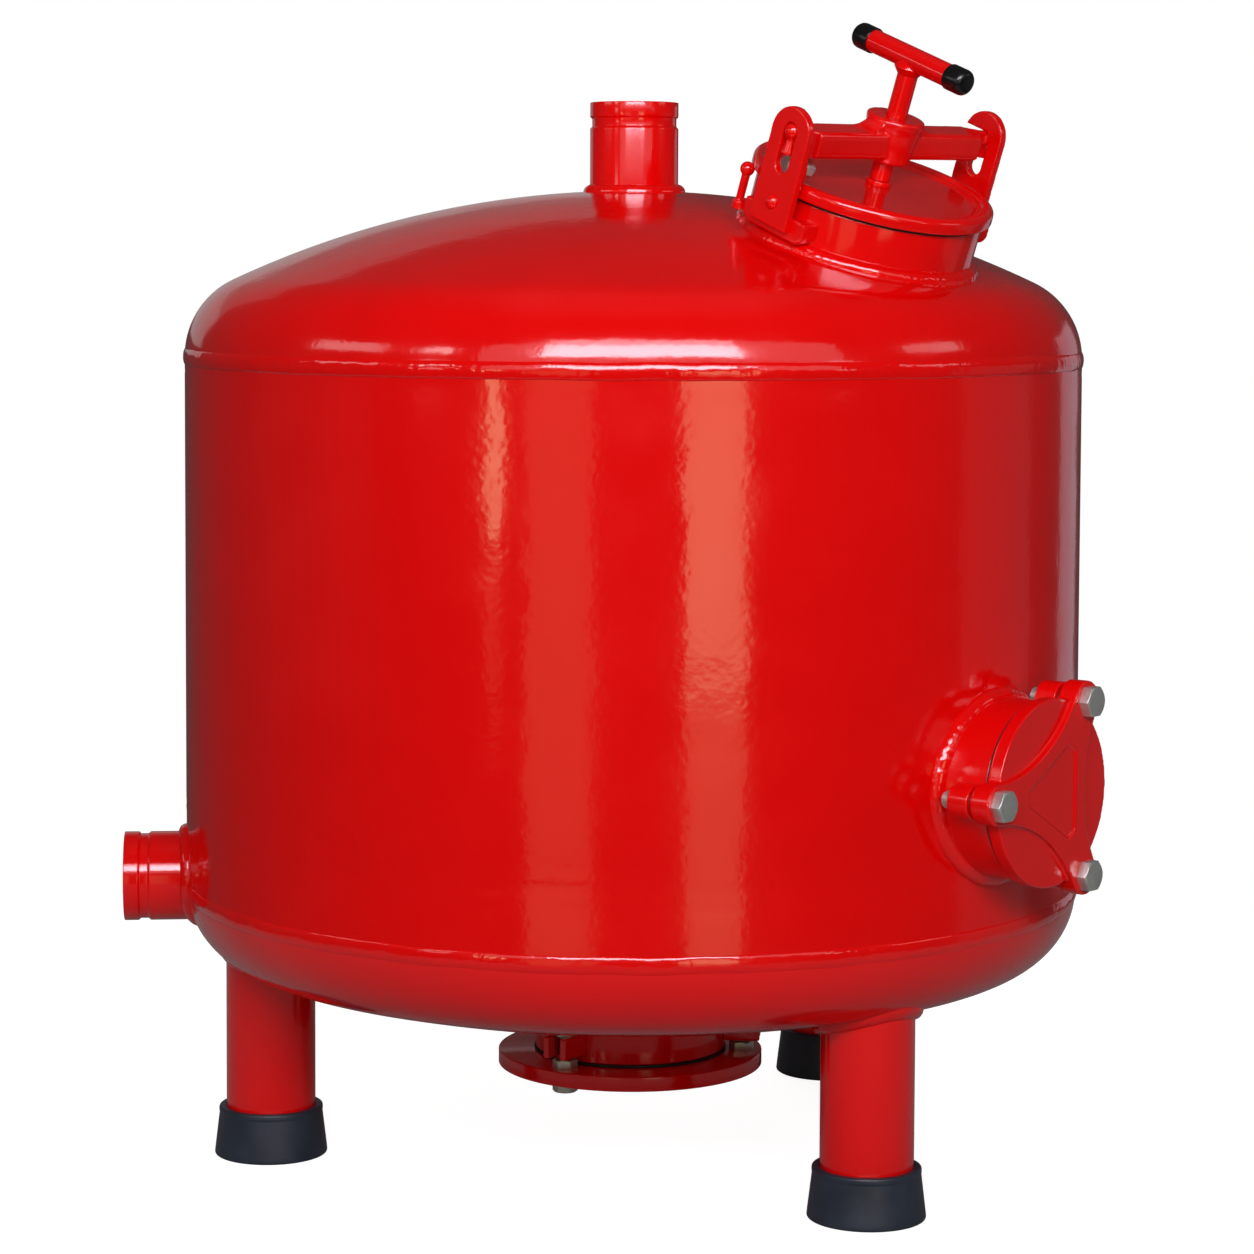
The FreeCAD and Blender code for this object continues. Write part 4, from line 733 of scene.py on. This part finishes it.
form = spun([(0, 13.3), (6, 13.3, 0.5), (6, 16.45), (10, 16.45, 0.8), (9.94, 18), (9.94, 135.5),
             (0, 135.5)], 72)
screw = solid_object(form, "clamp_screw_bar", CLAMP)
ALONG = moved(0, 0, 135.5) @ Matrix.Rotation(math.radians(-90), 4, "X")
joined_with(screw, rod(11.05, -30, 30, 72), CLAMP @ ALONG)
dress(screw, "screw", "red_gloss_paint", pipe_enamel, "clamp_screw")
pad = spun([(0, 11.3), (12.5, 11.3, 0.8), (12.5, 16.3, 1.2), (6.06, 16.3, 0.3), (6.06, 13.15),
            (0, 13.15)], 72)
dress(solid_object(pad, "swivel_thrust_pad", CLAMP), "pad", "red_gloss_paint", pipe_enamel,
      "thrust_pad")

# %% Handle
tube = spun([(8.5, -71), (11, -71), (11, 71), (8.5, 71)], 72)
dress(solid_object(tube, "handle_pipe", CLAMP @ ALONG), "screw", "red_gloss_paint", pipe_enamel,
      "handle_tube")
dress(rounded_copy("handle_bead", 0.5, 3, "handle_weld"), "screw", "red_gloss_paint",
      weld_enamel, "handle_weld", crisp=60)
for side, place in ((-1, "front"), (1, "rear")):
    cap = spun([(0, 71), (11.02, 71), (11.02, 52), (12.5, 52, 0.6), (12.5, 74, 6), (0, 74)], 72)
    turn = UPRIGHT if side > 0 else UNDER
    dress(solid_object(cap, "vinyl_cap_" + place, CLAMP @ ALONG @ turn), "screw",
          "black_plastic", cap_vinyl, "handle_cap_" + place)
print("fill port made")

# %% [markdown]
# ## The service port
# The cover is a sand casting: a round plate with a three-armed boss, a shallow triangular hollow
# in its middle and an ear for each bolt. Bolts run through the ears into lugs on the neck, and a
# rubber ring seals the rim.

# %% Service port
coped_neck("service_pipe", "service_neck", SERVICE, SERVICE_NECK, 5, 495, 380, 460)
fillet_bead("service_bead", SERVICE, SERVICE_NECK, 9, 380, 490, "vessel", 12.6,
            "service_weld")
ring = spun([(79.15, 495), (85.15, 495, 0.4), (85.15, 498, 0.4), (79.15, 498)], 160)
dress(solid_object(ring, "service_rubber_ring", SERVICE), "vessel", "black_rubber",
      gasket_rubber, "service_gasket")
dress(rounded_copy("service_lug_blocks", 0.9, 4, "service_lugs"), "vessel", "red_gloss_paint",
      cast_enamel, "service_lugs", crisp=60)
dress(rounded_copy("cast_service_cover", 1.0, 4, "service_cover"), "vessel", "red_cast_iron",
      cast_enamel, "service_cover", crisp=60)
bolts = []
for angle in (30, 150, 270):
    spot = Matrix.Rotation(math.radians(angle), 4, "Z") @ moved(94.2, 0, 518)
    bolts.append((hexagon(27, 10.5), spot))
    bolts.append((threaded(8, -60, -20, 2), spot))
    bolts.append((rod(7.9, -20.5, 0.5), spot))
dress(solid_object(gathered(bolts), "service_hex_bolts", SERVICE), "vessel", "zinc_steel", zinc,
      "service_bolts")

# %% [markdown]
# ## The drain port
# Three slotted lugs on the drain neck take bolts that point upwards. The lower nut on each bolt
# holds it to the cover plate, and the upper one pulls the plate against its gasket.

# %% Drain port
pipe = spun([(91.85, 96.5, 0.8), (DRAIN_NECK, 96.5, 1.2), (DRAIN_NECK, 156.5),
             (91.85, 156.5)], 192)
dress(solid_object(pipe, "drain_pipe"), "vessel", "red_gloss_paint", pipe_enamel, "drain_neck")
fillet_bead("drain_bead", UNDER, DRAIN_NECK, 7.5, -175, -100, "vessel", 15.2, "drain_weld")
ring = spun([(91.85, 93.5), (97.85, 93.5, 0.4), (97.85, 96.5, 0.4), (91.85, 96.5)], 160)
dress(solid_object(ring, "drain_rubber_ring"), "vessel", "black_rubber", gasket_rubber,
      "drain_gasket")
dress(rounded_copy("drain_lug_blocks", 0.9, 4, "drain_lugs"), "vessel", "red_gloss_paint",
      cast_enamel, "drain_lugs", crisp=60)
plate = solid_object(spun([(0, 78.5), (134.5, 78.5, 1.2), (134.5, 93.5, 1.2), (0, 93.5)], 256),
                     "drain_cover_plate")
places = [Matrix.Rotation(math.radians(angle), 4, "Z") @ moved(114, 0, 0)
          for angle in (-6, 114, 234)]
joined_with(plate, gathered([(rod(6.6, 70, 100), spot) for spot in places]))
bolts, nuts = [], []
for spot in places:
    bolts.append((hexagon(22, 9, True, False), spot @ moved(0, 0, 69.5)))
    bolts.append((threaded(6, 78.4, 135.2, 1.75), spot))
    nuts.append((hexagon(22, 9, bore=5.2), spot @ moved(0, 0, 93.5)))
    nuts.append((hexagon(22, 6.75, bore=5.2), spot @ moved(0, 0, 126.5)))
dress(plate, "vessel", "red_gloss_paint", pipe_enamel, "drain_cover")
dress(solid_object(gathered(bolts), "drain_hex_bolts"), "vessel", "zinc_steel", zinc,
      "drain_bolts")
dress(solid_object(gathered(nuts), "drain_hex_nuts"), "vessel", "zinc_steel", zinc,
      "drain_nuts")

# %% [markdown]
# ## Inside the vessel
# A plate on a ledge carries the sand. Its strainers are capped stems with fine upright slots,
# drawn here as grooves, that let water through and hold the sand back. Under the inlet hangs a
# round plate that spreads the jet. None of this shows from outside.

# %% Ledge, underdrain plate, strainers and diffuser
ledge = solid_object(spun([(426.9, 305, 1), (444.9, 305), (444.9, 317), (426.9, 317, 1)], 192),
                     "underdrain_ring")
joined_with(ledge, rod(47, 380, 470, 64), OUTLET)
dress(ledge, "vessel", "red_gloss_paint", pipe_enamel, "underdrain_ledge")
plate = solid_object(spun([(0, 317), (444.9, 317, 0.8), (444.9, 325, 0.8), (0, 325)], 192),
                     "perforated_underdrain")
spots = [(0, 0)]
for step in range(6):
    for reach, angle in ((175, step * 60), (175 * math.sqrt(3), step * 60 + 30)):
        spots.append((reach * math.cos(math.radians(angle)),
                      reach * math.sin(math.radians(angle))))
joined_with(plate, gathered([(rod(9.1, 300, 340, 32), moved(x, y, 0)) for x, y in spots]))
caps = []
for x, y in spots:
    cap = spun([(0, 277), (7.5, 277), (9, 279), (9, 325), (24, 325), (24, 327.5), (23.8, 328),
                (19.6, 348), (19.2, 351, 1), (0, 351)], 96)
    for vertex in cap.verts:
        column = round(math.atan2(vertex.co.y, vertex.co.x) / math.tau * 96) % 4
        if column == 0 and 0.3275 < vertex.co.z < 0.349:
            vertex.co.x *= 0.93
            vertex.co.y *= 0.93
    caps.append((cap, moved(x, y, 0)))
dress(plate, "vessel", "red_gloss_paint", pipe_enamel, "underdrain_plate")
dress(solid_object(gathered(caps), "slotted_strainers"), "vessel", "black_plastic",
      strainer_plastic, "strainers")
parts = [(spun([(0, 875), (85, 875, 1), (85, 880, 1), (0, 880)], 128), UPRIGHT)]
for angle in (30, 150, 270):
    spot = Matrix.Rotation(math.radians(angle), 4, "Z") @ moved(49.55, 0, 0)
    parts.append((rod(5, 875, 954, 32, 0.6), spot))
dress(solid_object(gathered(parts), "inlet_spreader"), "vessel", "red_gloss_paint",
      pipe_enamel, "inlet_diffuser")
print("ports and inside made")

# %% [markdown]
# ## The floor and the light
# Gloss shows its surroundings, so the studio is dim and the lights stand where the picture shows
# their reflections: a wide bright strip, high in front, for the band on the shoulder, tall warm
# windows right and left of the camera for the bands on the shell, and small ones to the sides
# and behind for the edges. A few more only lighten the paint, and no reflection shows them. The
# floor and the backdrop look white to the camera alone, because a white floor mirrored under
# the tank would wash its red out.

# %% Floor
form = bmesh.new()
bmesh.ops.create_circle(form, cap_ends=True, segments=128, radius=1.5)
floor = solid_object(form, "floor")
paint, tree, out = material("pale_floor")
mottle = add(tree, "ShaderNodeTexNoise", values={"Scale": 3.0})
tone = add(tree, "ShaderNodeMix", {"data_type": "RGBA"},
           {6: linear("#9C9C9B"), 7: linear("#A2A2A1")}, {0: mottle.outputs["Fac"]})
lit = add(tree, "ShaderNodeBsdfPrincipled",
          values={"Roughness": 0.9, "Emission Color": (1, 1, 1, 1),
                  "Emission Strength": 0.92},
          links={"Base Color": tone.outputs[2]})
dull = add(tree, "ShaderNodeBsdfDiffuse", links={"Color": tone.outputs[2]})
seen = add(tree, "ShaderNodeLightPath")
either = add(tree, "ShaderNodeMixShader", links={0: seen.outputs["Is Camera Ray"],
                                                 1: dull.outputs[0], 2: lit.outputs[0]})
tree.links.new(either.outputs[0], out.inputs["Surface"])
floor.data.materials.append(paint)


# %% Lights
def soft_box(name, azimuth, distance, low, high, width, glow, tint=(1, 1, 1), mirrored=True,
             spreads=True):
    """An upright light at an azimuth from the camera's side, in degrees to its right.

    Its power follows from its size and its glow, the light each square metre sends out. A light
    that isn't mirrored shows in no gloss, and one that doesn't spread shows only there.
    """
    light = bpy.data.lights.new(name, "AREA")
    light.shape, light.size, light.size_y = "RECTANGLE", width, high - low
    light.energy = glow * math.pi * width * (high - low)
    light.color = tint
    shown = bpy.data.objects.new(name, light)
    angle = math.radians(azimuth - 90)
    shown.location = (distance * math.cos(angle), distance * math.sin(angle), (low + high) / 2)
    shown.rotation_euler = (Vector((0, 0, shown.location.z))
                            - shown.location).to_track_quat("-Z", "Y").to_euler()
    shown.visible_glossy, shown.visible_diffuse = mirrored, spreads
    bpy.context.scene.collection.objects.link(shown)
    return shown


WARM, COOL = (1, 0.93, 0.55), (1, 0.84, 0.97)
soft_box("shoulder_strip", 1, 3.4, 1.65, 2.25, 3.0, 14, COOL)
soft_box("shoulder_strip_middle", 1, 3.4, 2.25, 2.6, 2.9, 13, COOL, spreads=False)
soft_box("shoulder_strip_top", 1, 3.4, 2.6, 3.1, 2.8, 5, COOL, spreads=False)
soft_box("left_wing", -74, 3.4, 1.6, 2.1, 1.3, 2.0, spreads=False)
soft_box("right_wing", 76, 3.4, 1.6, 2.1, 1.1, 1.6, spreads=False)
soft_box("shoulder_wash", 6, 3.6, 1.3, 3.2, 7.0, 0.8)
soft_box("shoulder_spot", -49, 3.4, 1.7, 2.05, 0.5, 6)
soft_box("right_window", 17.6, 3.7, 0.1, 0.93, 0.95, 1.4, WARM)
soft_box("right_window_foot", 17.6, 3.72, -0.6, 0.93, 0.9, 0.75, WARM)
soft_box("left_window", -18, 3.7, -0.45, 0.93, 1.0, 0.45, WARM)
soft_box("left_slit", -33.5, 3.7, 0.45, 0.93, 0.24, 3.4, WARM)
soft_box("left_slit_foot", -33.5, 3.72, 0.0, 0.93, 0.2, 0.3, WARM)
soft_box("pipe_slit_left", -48, 3.5, 0.95, 1.3, 0.45, 2.0)
soft_box("pipe_slit_right", 48, 3.5, 0.95, 1.3, 0.45, 1.5)
soft_box("bolt_card", 96, 3.0, -0.3, 1.0, 1.5, 0.08)
soft_box("right_rim", 138, 3.2, -0.2, 1.3, 1.0, 0.35, COOL)
soft_box("backdrop", -159, 3.4, 0.95, 1.8, 2.6, 0.3)
soft_box("backdrop_top", -159, 3.4, 1.8, 3.0, 2.6, 0.12)
soft_box("front_fill", -10, 3.6, 0.1, 3.0, 4.0, 0.1, mirrored=False)
soft_box("left_fill", -85, 3.2, 0.1, 1.4, 2.0, 0.8, mirrored=False)
soft_box("right_fill", 85, 3.2, 0.1, 1.4, 2.0, 0.2, mirrored=False)
soft_box("rear_fill", 180, 3.6, 0.1, 2.6, 4.0, 2.2, mirrored=False)
overhead = soft_box("overhead_fill", 0, 0.3, 2.0, 3.6, 1.6, 1.35, mirrored=False)
# Laid flat above the tank, a light faces straight down.
overhead.rotation_euler = (0, 0, 0)

world = bpy.data.worlds.new("studio")
bpy.context.scene.world = world
world.use_nodes = True
tree = world.node_tree
tree.nodes.clear()
seen = add(tree, "ShaderNodeLightPath")
white = add(tree, "ShaderNodeBackground", values={"Color": (1, 1, 1, 1), "Strength": 1.0})
dim = add(tree, "ShaderNodeBackground", values={"Color": (1, 1, 1, 1), "Strength": 0.05})
either = add(tree, "ShaderNodeMixShader", links={0: seen.outputs["Is Camera Ray"],
                                                 1: dim.outputs[0], 2: white.outputs[0]})
out = add(tree, "ShaderNodeOutputWorld", links={"Surface": either.outputs[0]})
print("lights placed")
